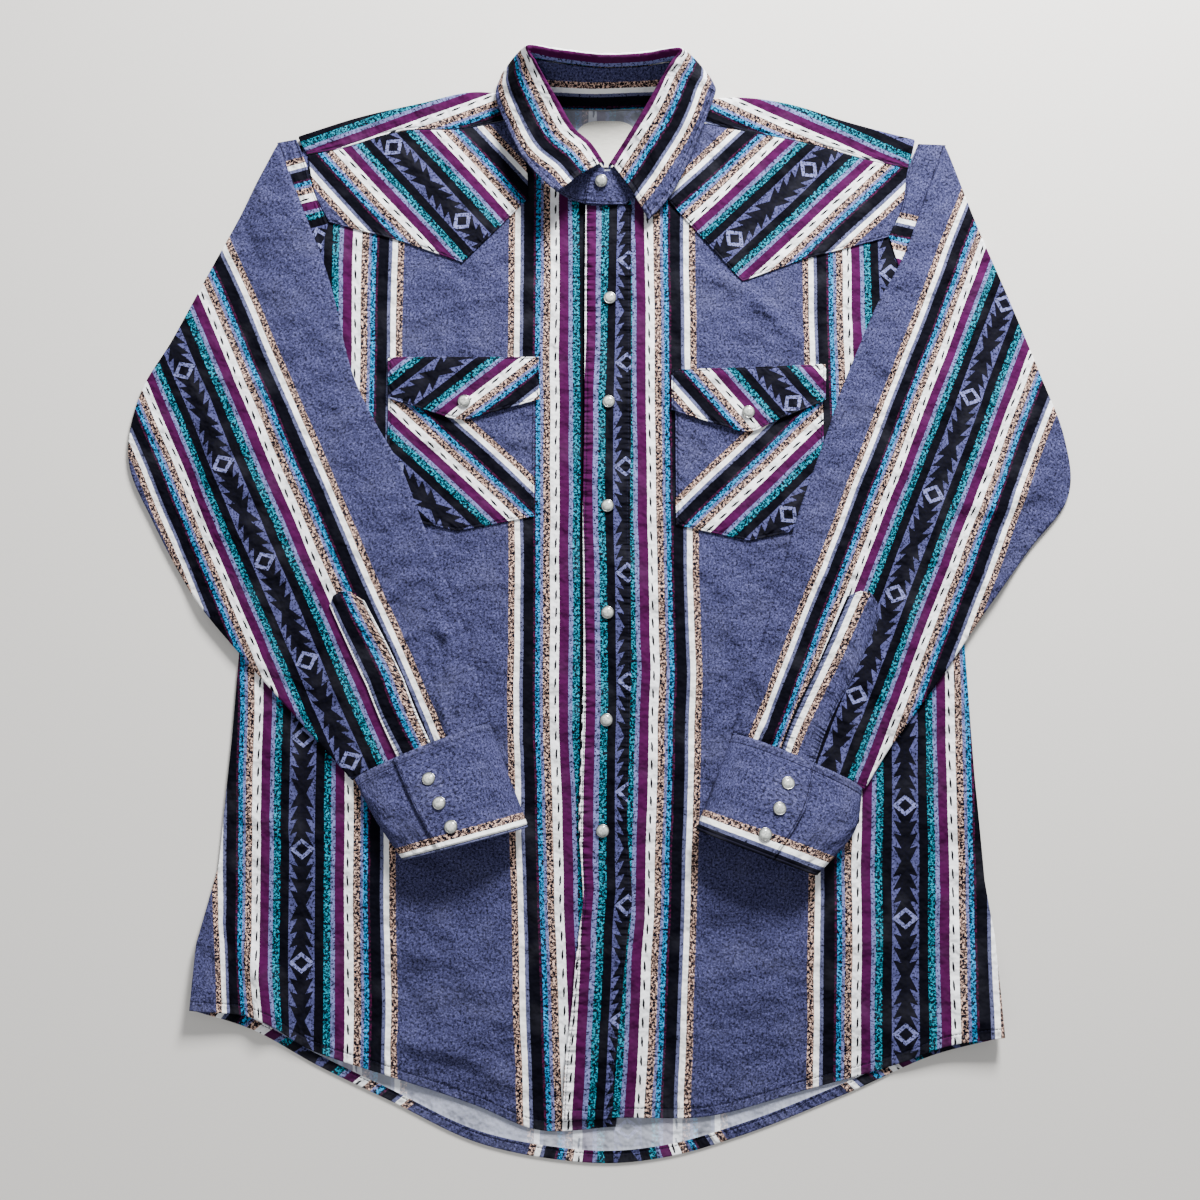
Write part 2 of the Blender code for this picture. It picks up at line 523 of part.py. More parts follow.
def cuff_surface(table, along, angle, inset):
    """Outer surface of a cuff: angle 0 is its inner side, 90 degrees its top and 180 its outer side."""
    rows = np.array(table, float)
    knots = np.linspace(0, 1, len(rows))
    column = {name: np.interp(along, knots, rows[:, k]) for k, name in enumerate(CUFF_COLUMNS)}
    outer = np.stack([column["outer_x"], column["outer_y"]], axis=-1)
    inner = np.stack([column["inner_x"], column["inner_y"]], axis=-1)
    middle, half = (outer + inner) / 2, (inner - outer) / 2
    width = np.linalg.norm(half, axis=-1)
    low, high = column["height"] * CUFF_FLAT_SHARE, column["height"] * (1 - CUFF_FLAT_SHARE)
    cosine, sine = np.cos(angle), np.sin(angle)
    power = np.where(sine < 0, 2 / 5.0, 2 / 2.3)
    side = np.sign(cosine) * np.abs(cosine)**power * (width - inset) / width
    rise = np.sign(sine) * np.abs(sine)**power * np.where(sine < 0, low, high - inset)
    place = middle + half * side[..., None]
    z = 2 * LAYER + CUFF_CLEARANCE + low + rise + 0 * side
    return np.concatenate([place, z[..., None]], axis=-1)


def cuff_angles(side):
    """Angles of the under end and the lapping end of a cuff, on its first and its second pass over the top."""
    under, end = (math.acos(2 * CUFF_LAP[side][key] - 1) for key in ("under", "end"))
    return under, end + 2 * math.pi


def cuff_inset(side, angle):
    """How far the rolled strip lies inside the cuff's outline at an angle counted from the first pass on."""
    return CUFF_PITCH * (cuff_angles(side)[1] - angle) / (2 * math.pi)


def make_cuff(side, table, material):
    """A cuff: a strip rolled round the wrist, its snapped end lapping over the other."""
    rows, columns = 6, 34
    angle = np.linspace(*cuff_angles(side), columns)
    inset = cuff_inset(side, angle)
    along = np.linspace(0, 1, rows)
    grid = cuff_surface(table, along[:, None] + 0 * angle, angle[None] + 0 * along[:, None],
                        inset[None] + 0 * along[:, None])
    seam = np.array(table[0][:4], float)
    axis = np.array([np.mean(table[-1][0:4:2]) - np.mean(seam[0::2]), np.mean(table[-1][1:4:2]) - np.mean(seam[1::2])])
    grid[..., :2] += axis / np.linalg.norm(axis) * CUFF_BUTT
    return cloth(f"cuff_{side}", grid, material, thickness=CUFF_WALL, grow=CUFF_GROW[side])


CUFF_GROW = {"right": -1, "left": 1}


def collar_rows(count):
    """Stations round the neck: foot and top of the stand, and the leaf's points from the stand's top to its edge.

    At each station the fold is an arc of a circle. The stand's line and the leaf's line are its tangents.
    """
    rows = through(COLLAR, count, by_length=False)
    foot, fold, edge = rows[:, 0:3], rows[:, 3:6], rows[:, 6:9]
    unit = lambda vectors: vectors / np.linalg.norm(vectors, axis=1, keepdims=True)
    down = unit(unit(foot - fold) + unit(edge - fold))
    centre = fold + down * FOLD_RADIUS
    out = unit((edge - centre) - np.sum((edge - centre) * down, axis=1, keepdims=True) * down)
    angles = []
    for end, turn in ((foot, -1), (edge, 1)):
        along, across = np.sum((end - centre) * down, axis=1), np.sum((end - centre) * out, axis=1)
        angles.append(np.arctan2(across, along) + turn * np.arccos(FOLD_RADIUS / np.hypot(along, across)))
    on_circle = lambda angle: centre + FOLD_RADIUS * (np.cos(angle)[:, None] * down + np.sin(angle)[:, None] * out)
    arc = [on_circle(angles[0] + (angles[1] - 2 * math.pi - angles[0]) * share) for share in np.linspace(0, 1, 6)]
    line = unit(foot - arc[0])
    station = np.arange(count, dtype=float)
    from_end = np.minimum(station, count - 1 - station)[:, None]
    roll = ROLL_AT_ENDS + (COLLAR_ROLL - ROLL_AT_ENDS) * smoothstep(from_end, 0, ROLL_GROWS_OVER)
    top = arc[0] + line * (roll + SEAM_GAP)
    away = unit(np.cross(np.cross(edge - fold, foot - fold), edge - fold)) * -1
    leaf = [arc[0] + line * roll] + arc
    for share in (0.35, 0.7, 1.0):
        leaf.append(arc[-1] + (edge - arc[-1]) * share + away * LEAF_BULGE * math.sin(math.pi * share))
    return foot, top, np.stack(leaf, axis=1)


def make_collar_stand(material):
    """The stand: a band round the neck, its left end lapping over its right end at the front."""
    foot, top, _ = collar_rows(COLLAR_STATIONS)
    under, over = np.array(STAND_LAP_UNDER, float), np.array(STAND_LAP_OVER, float)
    foot = np.concatenate([under[::-1, 0:3], foot, over[:, 0:3]])
    top = np.concatenate([under[::-1, 3:6], top, over[:, 3:6]])
    grid = np.stack([foot + (top - foot) * share for share in (0.0, 0.35, 0.7, 1.0)], axis=1)
    return cloth("collar_stand", grid, material, thickness=COLLAR_WALL, grow=0)


def make_collar_leaf(material):
    """The leaf: from the stand's top up inside to the fold, over it, and out to the collar's edge."""
    return cloth("collar_leaf", collar_rows(COLLAR_STATIONS)[2], material, thickness=COLLAR_WALL, grow=0)


def make_label(material):
    """The bare label inside the back of the neck."""
    columns, rows = 7, 4
    (x0, x1), (y0, y1) = LABEL["x"], LABEL["y"]
    lower = np.linspace((x0, y0), (x1, y0), columns)
    arch = np.linspace((x0, y1), (x1, y1), columns)
    arch[:, 1] -= LABEL["arch"] * np.linspace(-1, 1, columns)**4
    grid = patch(lower, arch, np.linspace(lower[0], arch[0], rows), np.linspace(lower[-1], arch[-1], rows))
    return cloth("neck_label", lay(grid, lambda x, y: LAYER + 0 * x), material, thickness=LABEL["wall"])


def make_snap(name, place, normal, material):
    """A snap: its profile turned round its axis, standing off the cloth by the gap."""
    mesh = bpy.data.meshes.new(name)
    points = [(r * MM, 0.0, z * MM) for r, z in SNAP_PROFILE]
    mesh.from_pydata(points, [(k, k + 1) for k in range(len(points) - 1)], [])
    obj = bpy.data.objects.new(name, mesh)
    obj.data.materials.append(material)
    bpy.data.collections["western_snap_shirt"].objects.link(obj)
    screw = obj.modifiers.new("turn", "SCREW")
    screw.steps = screw.render_steps = SNAP_STEPS
    screw.use_merge_vertices = True
    screw.merge_threshold = 0.0001
    screw.use_normal_calculate = True
    normal = Vector(normal).normalized()
    obj.location = (Vector(place) + normal * GAP) * MM
    obj.rotation_euler = Vector((0, 0, 1)).rotation_difference(normal).to_euler()
    return obj


def make_snaps(material):
    """All snaps: on the stand, down the placket, on the flaps and on the cuffs."""
    make_snap("snap_neck", NECK_SNAP["at"], NECK_SNAP["axis"], material)
    for number, (x, y) in enumerate(FRONT_SNAPS, 1):
        z = float(on_front("left", np.array(x), np.array(y), 2)) - GAP
        make_snap(f"snap_front_{number}", (x, y, z), (0, 0, 1), material)
    for side, (x, y) in FLAP_SNAPS.items():
        z = float(on_front(side, np.array(x), np.array(y), 3)) - GAP
        make_snap(f"snap_pocket_{side}", (x, y, z), (0, 0, 1), material)
    for side, table in (("right", CUFF_RIGHT), ("left", CUFF_LEFT)):
        angle = math.acos(2 * CUFF_SNAPS[side]["across"] - 1)
        inset = np.array(cuff_inset(side, angle + 2 * math.pi) + CUFF_SNAP_SINK)
        for number, along in enumerate(CUFF_SNAPS[side]["along"], 1):
            at = [cuff_surface(table, np.array(a), np.array(b), inset)
                  for a, b in ((along, angle), (along + 0.05, angle), (along, angle + 0.05))]
            normal = np.cross(at[1] - at[0], at[2] - at[0])
            normal *= np.sign(normal[2])
            make_snap(f"snap_cuff_{side}_{number}", at[0], normal, material)


def main():
    """Build the shirt."""
    clear_scene()
    bpy.context.scene.collection.children.link(bpy.data.collections.new("western_snap_shirt"))
    plain = make_material("plain_twill", COLOURS["plain"], 0.9)
    striped = make_material("striped_twill", COLOURS["striped"], 0.9)
    label = make_material("label_tape", COLOURS["label"], 0.7)
    pearl = make_material("pearl_snap", COLOURS["pearl"], 0.25)
    make_back(striped)
    make_back_yoke(striped)
    make_fronts(striped)
    make_placket(striped)
    make_collar_stand(plain)
    make_collar_leaf(striped)
    make_label(label)
    sides = {"right": (YOKE_RIGHT, STRIP_RIGHT, SLEEVE_RIGHT, CUFF_RIGHT),
             "left": (YOKE_LEFT, STRIP_LEFT, SLEEVE_LEFT, CUFF_LEFT)}
    for side, (yoke, strip, sleeve, cuff) in sides.items():
        make_front_yoke(side, yoke, striped)
        make_armhole_strip(side, strip, striped)
        make_pocket(side, POCKETS[side], striped)
        make_flap(side, FLAPS[side], striped)
        make_sleeve(side, sleeve, striped)
        make_tower(side, TOWERS[side], sleeve, striped)
        make_cuff(side, cuff, plain)
    make_snaps(pearl)


main()
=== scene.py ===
"""Looks of a western snap shirt laid flat: cloth, print, sewing and snaps, worked out in millimetres."""
import math

import bpy
import numpy as np
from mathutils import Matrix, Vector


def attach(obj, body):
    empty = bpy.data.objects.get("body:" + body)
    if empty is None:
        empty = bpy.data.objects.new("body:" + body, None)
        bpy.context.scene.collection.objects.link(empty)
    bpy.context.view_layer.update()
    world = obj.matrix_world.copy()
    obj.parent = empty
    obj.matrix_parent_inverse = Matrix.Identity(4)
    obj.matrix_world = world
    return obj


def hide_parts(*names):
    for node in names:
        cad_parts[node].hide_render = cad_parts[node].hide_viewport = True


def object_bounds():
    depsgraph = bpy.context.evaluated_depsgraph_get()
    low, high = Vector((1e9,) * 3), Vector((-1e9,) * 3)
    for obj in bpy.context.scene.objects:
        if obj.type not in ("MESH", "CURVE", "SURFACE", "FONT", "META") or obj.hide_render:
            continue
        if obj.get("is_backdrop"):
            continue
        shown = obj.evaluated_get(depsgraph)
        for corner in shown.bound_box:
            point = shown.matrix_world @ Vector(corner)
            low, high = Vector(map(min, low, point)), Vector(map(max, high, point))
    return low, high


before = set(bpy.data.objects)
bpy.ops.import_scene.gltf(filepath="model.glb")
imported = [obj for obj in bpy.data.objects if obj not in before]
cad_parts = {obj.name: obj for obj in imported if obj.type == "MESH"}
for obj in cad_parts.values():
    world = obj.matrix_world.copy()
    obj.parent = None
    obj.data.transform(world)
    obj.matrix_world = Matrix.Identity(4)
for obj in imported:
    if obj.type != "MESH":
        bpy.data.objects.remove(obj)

solid_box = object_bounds()

# ================================================================ Back
# One panel of printed cotton twill that lies on its right side, so its pale inside looks up. Its tail hangs
# below the fronts. The hem is turned up once to the inside, 8 mm wide, and stitched down.
MM = 0.001
CLOTH, LAYER = 1.2, 1.5
SIDE_RIGHT = [(-313, -327), (-311, -278), (-297, -218), (-290, -120), (-286, -40), (-280, 50), (-276, 130)]
SIDE_LEFT = [(308, -347), (305, -272), (299, -230), (294, -150), (290, -51), (284, 50), (279, 130)]
ARMHOLE_RIGHT = [(-276, 130), (-246, 158), (-230, 205), (-227, 277), (-240, 305), (-265, 373)]
ARMHOLE_LEFT = [(279, 130), (258, 155), (243, 200), (243, 262), (259, 304), (284, 371)]
BACK_HEM = [(-313, -327), (-275, -339), (-215, -370), (-161, -395), (-90, -427), (-35, -438), (8, -441),
            (53, -436), (107, -421), (186, -391), (260, -360), (308, -347)]
BACK_SEAM = 300
BACK_CORNERS = [(-237.5, 299.7), (257.4, 299.7)]
BACK_WIDTH, BACK_LENGTH = 620, 640
HEM_TURN, HEM_ROWS = 8, (2.6, 4.4, 6.2, 7.7, 8.3)
THINNED = 0.72  # above its hem the back is this share of the hem's thickness
LIFTS = [((-322, -345), 80), ((322, -362), 80)]
LIFT = 8
BACK_PRINT = ((21, -416), (0, 1), (1.05, 1.05))
CUT_EDGE_ROWS, CUT_EDGE = (0, 0.3, 0.8, 1.6), 2.6
ROUNDED, THINNEST = 0.8, 0.35  # a cut edge is rounded over this many mm, down to this share of the wall
NO_STITCH = 60.0

# the print: distance in mm from the middle of the motif to each stripe's far edge, its colour and how far it
# is flecked with black, from 0.5 (half) to 1 (not at all)
STRIPE_PERIOD = 233
STRIPES = [(9.75, (74, 76, 120), 0.57), (16.8, (5, 5, 13), 1.0), (21.9, (14, 146, 170), 0.485),
           (25.1, (108, 113, 163), 0.57), (32.4, (64, 10, 58), 0.72), (39.4, (247, 248, 251), 1.0),
           (44.7, (228, 188, 168), 0.475), (47.1, (110, 116, 168), 0.55), (50.6, (24, 148, 206), 0.505),
           (52.7, (72, 16, 54), 0.50), (60.2, (5, 5, 14), 1.0), (63.1, (86, 89, 122), 0.60),
           (67.0, (247, 248, 248), 1.0), (72.3, (228, 188, 168), 0.475), (116.5, (61, 62, 98), 0.515)]
REPEAT = 86.5
TOOTH = {"length": 10, "start": 4.5, "lean": 0.35, "count": 3.98, "root": 3.2, "reach": 6.0}
DIAMOND, EYE = (10.1, 8.2), (5.3, 5.0)  # half widths and half heights
DASH = {"at": 35.3, "pitch": 14, "slant": 1.6, "middle": 0.28, "point": 2.0, "taper": 7.0, "half_width": 0.8}
STITCH = {"pitch": 2.6, "thread": 0.74, "half_width": 0.36, "groove": 1.3, "pucker": 7}
RELIEF = {"crumple": 6.0, "pucker": 4.0, "groove": 0.4, "thread": 0.3, "weave": 0.02}
WEAVE_PITCH = 0.9
DIAMOND_DYE, INK, FLECK_INK, PALE_FLECK = (112, 116, 166), (10, 10, 18), (11, 11, 24), (104, 106, 154)
WASHED_OUT, WORN, DAMP, THREAD_DYE = (205, 210, 226), (150, 150, 165), (14, 14, 22), (20, 20, 36)


def through(points, shares, smooth=True, by_length=True):
    """Points on a curve through the given ones at shares of its length (or of its rows): cubics with mean
    slopes, or straight runs."""
    rows = np.array(points, float)
    steps = np.linalg.norm(np.diff(rows[:, :2], axis=0), axis=1) if by_length else np.ones(len(rows) - 1)
    knots = np.concatenate([[0.0], np.cumsum(steps)])
    at = knots[-1] * shares
    if not smooth:
        return np.stack([np.interp(at, knots, column) for column in rows.T], axis=1)
    slopes = np.gradient(rows, knots, axis=0)
    cell = np.clip(np.searchsorted(knots, at, side="right") - 1, 0, len(knots) - 2)
    width = (knots[cell + 1] - knots[cell])[:, None]
    t = ((at - knots[cell])[:, None]) / width
    return ((2 * t**3 - 3 * t**2 + 1) * rows[cell] + (t**3 - 2 * t**2 + t) * width * slopes[cell]
            + (3 * t**2 - 2 * t**3) * rows[cell + 1] + (t**3 - t**2) * width * slopes[cell + 1])


def shares_of(length, step, also=()):
    """Even shares of a run, with closer ones in its first and last 2 mm for the rounding of a cut edge."""
    near = np.array(CUT_EDGE_ROWS) / length
    even = np.linspace(0, 1, max(3, round(length / step)) + 1)
    even = even[(even > CUT_EDGE / length) & (even < 1 - CUT_EDGE / length)]
    return np.unique(np.concatenate([near, even, 1 - near, np.array(also, float)]).round(9))


def patch(lower, upper, left, right, u, v):
    """A grid that fills four edges: the pairs blended by shares u and v, less what the corners add twice."""
    u, v = u[None, :, None], v[:, None, None]
    corners = ((1 - u) * (1 - v) * lower[0] + u * (1 - v) * lower[-1]
               + (1 - u) * v * upper[0] + u * v * upper[-1])
    return (1 - v) * lower[None] + v * upper[None] + (1 - u) * left[:, None] + u * right[:, None] - corners


def straight_sides(lower, upper, shares):
    """The straight runs that join the two ends of a lower and an upper edge."""
    return [lower[k] + (upper[k] - lower[k]) * shares[:, None] for k in (0, -1)]


def smoothstep(x, low, high):
    """0 below low, 1 above high, and 3t^2 - 2t^3 between them."""
    t = np.clip((np.asarray(x, float) - low) / (high - low), 0, 1)
    return t * t * (3 - 2 * t)


def distance_to_run(x, y, a, b):
    """Distance from the straight run between a and b."""
    (ax, ay), (bx, by) = a, b
    t = np.clip(((x - ax) * (bx - ax) + (y - ay) * (by - ay)) / ((bx - ax)**2 + (by - ay)**2), 0, 1)
    return np.hypot(x - ax - t * (bx - ax), y - ay - t * (by - ay))


def ground(x, y, more_height=0.0, more_reach=0.0):
    """How far the lowest layer stands up at the two lifted corners of the hem."""
    height = np.zeros(np.shape(x))
    for (cx, cy), reach in LIFTS:
        away = np.hypot(x - cx, y - cy)
        height = height + (LIFT + more_height) * smoothstep(reach + more_reach - away, 0, reach + more_reach)
    return height


def stand_on(flat, height):
    """A flat grid of x and y, stood on a height function of them."""
    return np.dstack([flat, height(flat[..., 0], flat[..., 1])])


def edge_distances(grid):
    """Distance of each point from the first and last column and the first and last row, along the cloth."""
    across = np.cumsum(np.pad(np.linalg.norm(np.diff(grid, axis=1), axis=2), ((0, 0), (1, 0))), axis=1)
    along = np.cumsum(np.pad(np.linalg.norm(np.diff(grid, axis=0), axis=2), ((1, 0), (0, 0))), axis=0)
    return across, across[:, -1:] - across, along, along[-1:] - along


def normals_of(grid):
    """Unit normals: the cross product of the steps along a row and along a column."""
    normal = np.cross(np.gradient(grid, axis=1), np.gradient(grid, axis=0))
    return normal / np.maximum(np.linalg.norm(normal, axis=2, keepdims=True), 1e-9)


def stitch_lines(grid, insets):
    """Signed distance from the nearest stitch line along the sides, and along the ends. Insets (or None) are
    from the first and last column and the first and last row."""
    far = np.full(grid.shape[:2], NO_STITCH)
    off = [far if inset is None else edge - inset for edge, inset in zip(edge_distances(grid), insets)]
    return np.dstack([np.where(abs(a) < abs(b), a, b) for a, b in (off[:2], off[2:])])


def cloth_shell(base, wall, cloth, seam, turn=1, closed=False, band=None):
    """Cloth between a grid and the same grid moved along its normals by the wall, which thins as a quarter
    circle at its open edges. It returns points, quads, the place of each corner in the print and from the
    stitching, and which quads are the face (0), the back (1) and a turned-up band (2)."""
    rows, columns = base.shape[:2]
    edges = edge_distances(base)
    nearest = np.minimum.reduce(edges[2:] if closed else edges)
    thin = THINNEST + (1 - THINNEST) * np.sqrt(1 - (1 - np.clip(nearest / ROUNDED, 0, 1))**2)
    ring = np.concatenate([base[:, -1:], base, base[:, :1]], axis=1) if closed else base
    normal = normals_of(ring)[:, 1:-1] if closed else normals_of(base)
    wall = wall * np.ones((rows, columns))
    lift = normal * turn * (wall * thin)[..., None]
    middle = normal * turn * wall[..., None] / 2
    face = base + middle + lift / 2
    back = base + middle - lift / 2
    points = np.concatenate([back.reshape(-1, 3), face.reshape(-1, 3)])
    wide = columns + 1 if closed else columns
    index = np.arange(rows)[:, None] * columns + (np.arange(wide) % columns)[None]
    place = np.arange(rows * wide).reshape(rows, wide)

    def quads(of):
        return np.stack([of[:-1, :-1], of[:-1, 1:], of[1:, 1:], of[1:, :-1]], axis=-1).reshape(-1, 4)

    def rim(low, high):
        return np.stack([low[:-1], low[1:], high[1:], high[:-1]], axis=-1)

    upper = index + rows * columns
    rims = [(slice(0, 1), slice(None), 1), (slice(-1, None), slice(None), -1)]
    rims += [] if closed else [(slice(None), slice(0, 1), -1), (slice(None), slice(-1, None), 1)]
    faces = [quads(upper), quads(index)[:, ::-1]]
    places = [quads(place), quads(place)[:, ::-1]]
    for row, column, way in rims:
        faces.append(rim(index[row, column].ravel(), upper[row, column].ravel())[:, ::way])
        places.append(rim(place[row, column].ravel(), place[row, column].ravel())[:, ::way])
    kinds = np.concatenate([np.full(len(f), k) for f, k in zip(faces, [0, 1] + [0] * len(rims))])
    faces, places = np.concatenate(faces)[:, ::turn], np.concatenate(places)[:, ::turn]
    in_print, in_seam = cloth.reshape(-1, 2)[places], seam.reshape(-1, 2)[places]
    if band is not None:
        band_rows, band_cloth, band_kind = band
        turned = (places.max(axis=1) // wide < band_rows) & (kinds == 0)
        in_print[turned] = band_cloth.reshape(-1, 2)[places[turned]]
        kinds[turned] = band_kind
    return points, faces, in_print, in_seam, kinds


def make_piece(name, shells, materials, node):
    """An object from one or more shells, in metres; it rides on the shirt and stands for its solid."""
    start = np.cumsum([0] + [len(s[0]) for s in shells])
    points = np.concatenate([s[0] for s in shells]) * MM
    quads = np.concatenate([s[1] + first for s, first in zip(shells, start)])
    mesh = bpy.data.meshes.new(name)
    mesh.vertices.add(len(points))
    mesh.vertices.foreach_set("co", points.astype(np.float32).ravel())
    mesh.loops.add(quads.size)
    mesh.loops.foreach_set("vertex_index", quads.astype(np.int32).ravel())
    mesh.polygons.add(len(quads))
    mesh.polygons.foreach_set("loop_start", np.arange(0, quads.size, 4, dtype=np.int32))
    mesh.polygons.foreach_set("material_index", np.concatenate([s[4] for s in shells]).astype(np.int32))
    mesh.polygons.foreach_set("use_smooth", np.ones(len(quads), bool))
    for layer, part in (("cloth", 2), ("seam", 3)):
        values = np.concatenate([s[part] for s in shells]).astype(np.float32)
        mesh.uv_layers.new(name=layer).data.foreach_set("uv", values.ravel())
    mesh.update(calc_edges=True)
    for material in materials:
        mesh.materials.append(material)
    obj = bpy.data.objects.new(name, mesh)
    bpy.context.scene.collection.objects.link(obj)
    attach(obj, "root")
    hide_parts(node)
    return obj


class Value:
    """A socket in a finish. An operator between it and a number or another one adds the Math node for it."""

    def __init__(self, finish, socket):
        self.finish, self.socket = finish, socket

    def math(self, operation, *inputs):
        return self.finish.node("ShaderNodeMath", {"operation": operation}, inputs)

    def __add__(self, other):
        return self.math("ADD", self, other)

    def __sub__(self, other):
        return self.math("SUBTRACT", self, other)

    def __rsub__(self, other):
        return self.math("SUBTRACT", other, self)

    def __mul__(self, other):
        return self.math("MULTIPLY", self, other)

    def __truediv__(self, other):
        return self.math("DIVIDE", self, other)

    def __abs__(self):
        return self.math("ABSOLUTE", self)

    def __lt__(self, other):
        return self.math("LESS_THAN", self, other)

    def __gt__(self, other):
        return self.math("GREATER_THAN", self, other)

    def fraction(self):
        return self.math("FRACT", self)

    def round_trip(self, period):
        """Distance from the nearest multiple of the period."""
        return abs(self.math("WRAP", self, period / 2, -period / 2))

    def capped(self, limit):
        return self.math("MINIMUM", self, limit)

    def clamped(self):
        return self.math("MAXIMUM", self, 0.0).capped(1.0)

    __radd__, __rmul__ = __add__, __mul__


class Finish:
    """A material that is put together from Python expressions."""

    def __init__(self, name, roughness, sheen=0.0, metallic=0.0, coat=0.0, specular=0.5):
        self.material = bpy.data.materials.new(name)
        self.material.use_nodes = True
        self.tree = self.material.node_tree
        self.shader = self.tree.nodes["Principled BSDF"]
        constants = {"Roughness": roughness, "Sheen Weight": sheen, "Metallic": metallic,
                     "Coat Weight": coat, "Specular IOR Level": specular}
        for socket, value in constants.items():
            self.shader.inputs[socket].default_value = value

    def node(self, kind, settings=(), sockets=(), output=0):
        """A node: its settings (or a ramp's stops) first, then the values or links of its sockets."""
        made = self.tree.nodes.new(kind)
        for key, value in dict(settings).items():
            if key == "stops":
                ramp = made.color_ramp
                ramp.interpolation = "CONSTANT"
                for position, colour in value[1:-1]:
                    ramp.elements.new(position)
                for element, (position, colour) in zip(ramp.elements, value):
                    element.position, element.color = position, colour
            else:
                setattr(made, key, value)
        pairs = sockets.items() if isinstance(sockets, dict) else enumerate(sockets)
        for key, value in pairs:
            if isinstance(value, Value):
                self.tree.links.new(value.socket, made.inputs[key])
            else:
                made.inputs[key].default_value = value
        return Value(self, made.outputs[output])

    def uv(self, layer):
        """The two coordinates of a UV map, in mm."""
        pair = self.node("ShaderNodeUVMap", {"uv_map": layer})
        split = self.node("ShaderNodeSeparateXYZ", {}, [pair])
        return split, Value(self, split.socket.node.outputs[1])

    def noise(self, x, y, detail=2.0, rough=0.5):
        """Soft random values round 0.5 at a place given by two coordinates."""
        place = self.node("ShaderNodeCombineXYZ", {}, [x, y, 0.0])
        return self.node("ShaderNodeTexNoise", {"noise_dimensions": "2D"},
                         {"Vector": place, "Scale": 1.0, "Detail": detail, "Roughness": rough})

    def mix(self, first, second, share):
        """A colour between two others."""
        return self.node("ShaderNodeMix", {"data_type": "RGBA"}, {0: share, 6: first, 7: second}, output=2)

    def feed(self, socket, value):
        self.tree.links.new(value.socket, self.shader.inputs[socket])

    def bump(self, height):
        """Relief from a height in mm."""
        sockets = {"Height": height, "Strength": 1.0, "Distance": MM}
        self.feed("Normal", self.node("ShaderNodeBump", {}, sockets))


def dye(*seen):
    """A colour as the eye names it (0 to 255) made linear."""
    shares = [value / 255 for value in seen]
    return (*(c / 12.92 if c <= 0.04045 else ((c + 0.055) / 1.055)**2.4 for c in shares), 1.0)


def grey(value):
    return (value, value, value, 1.0)


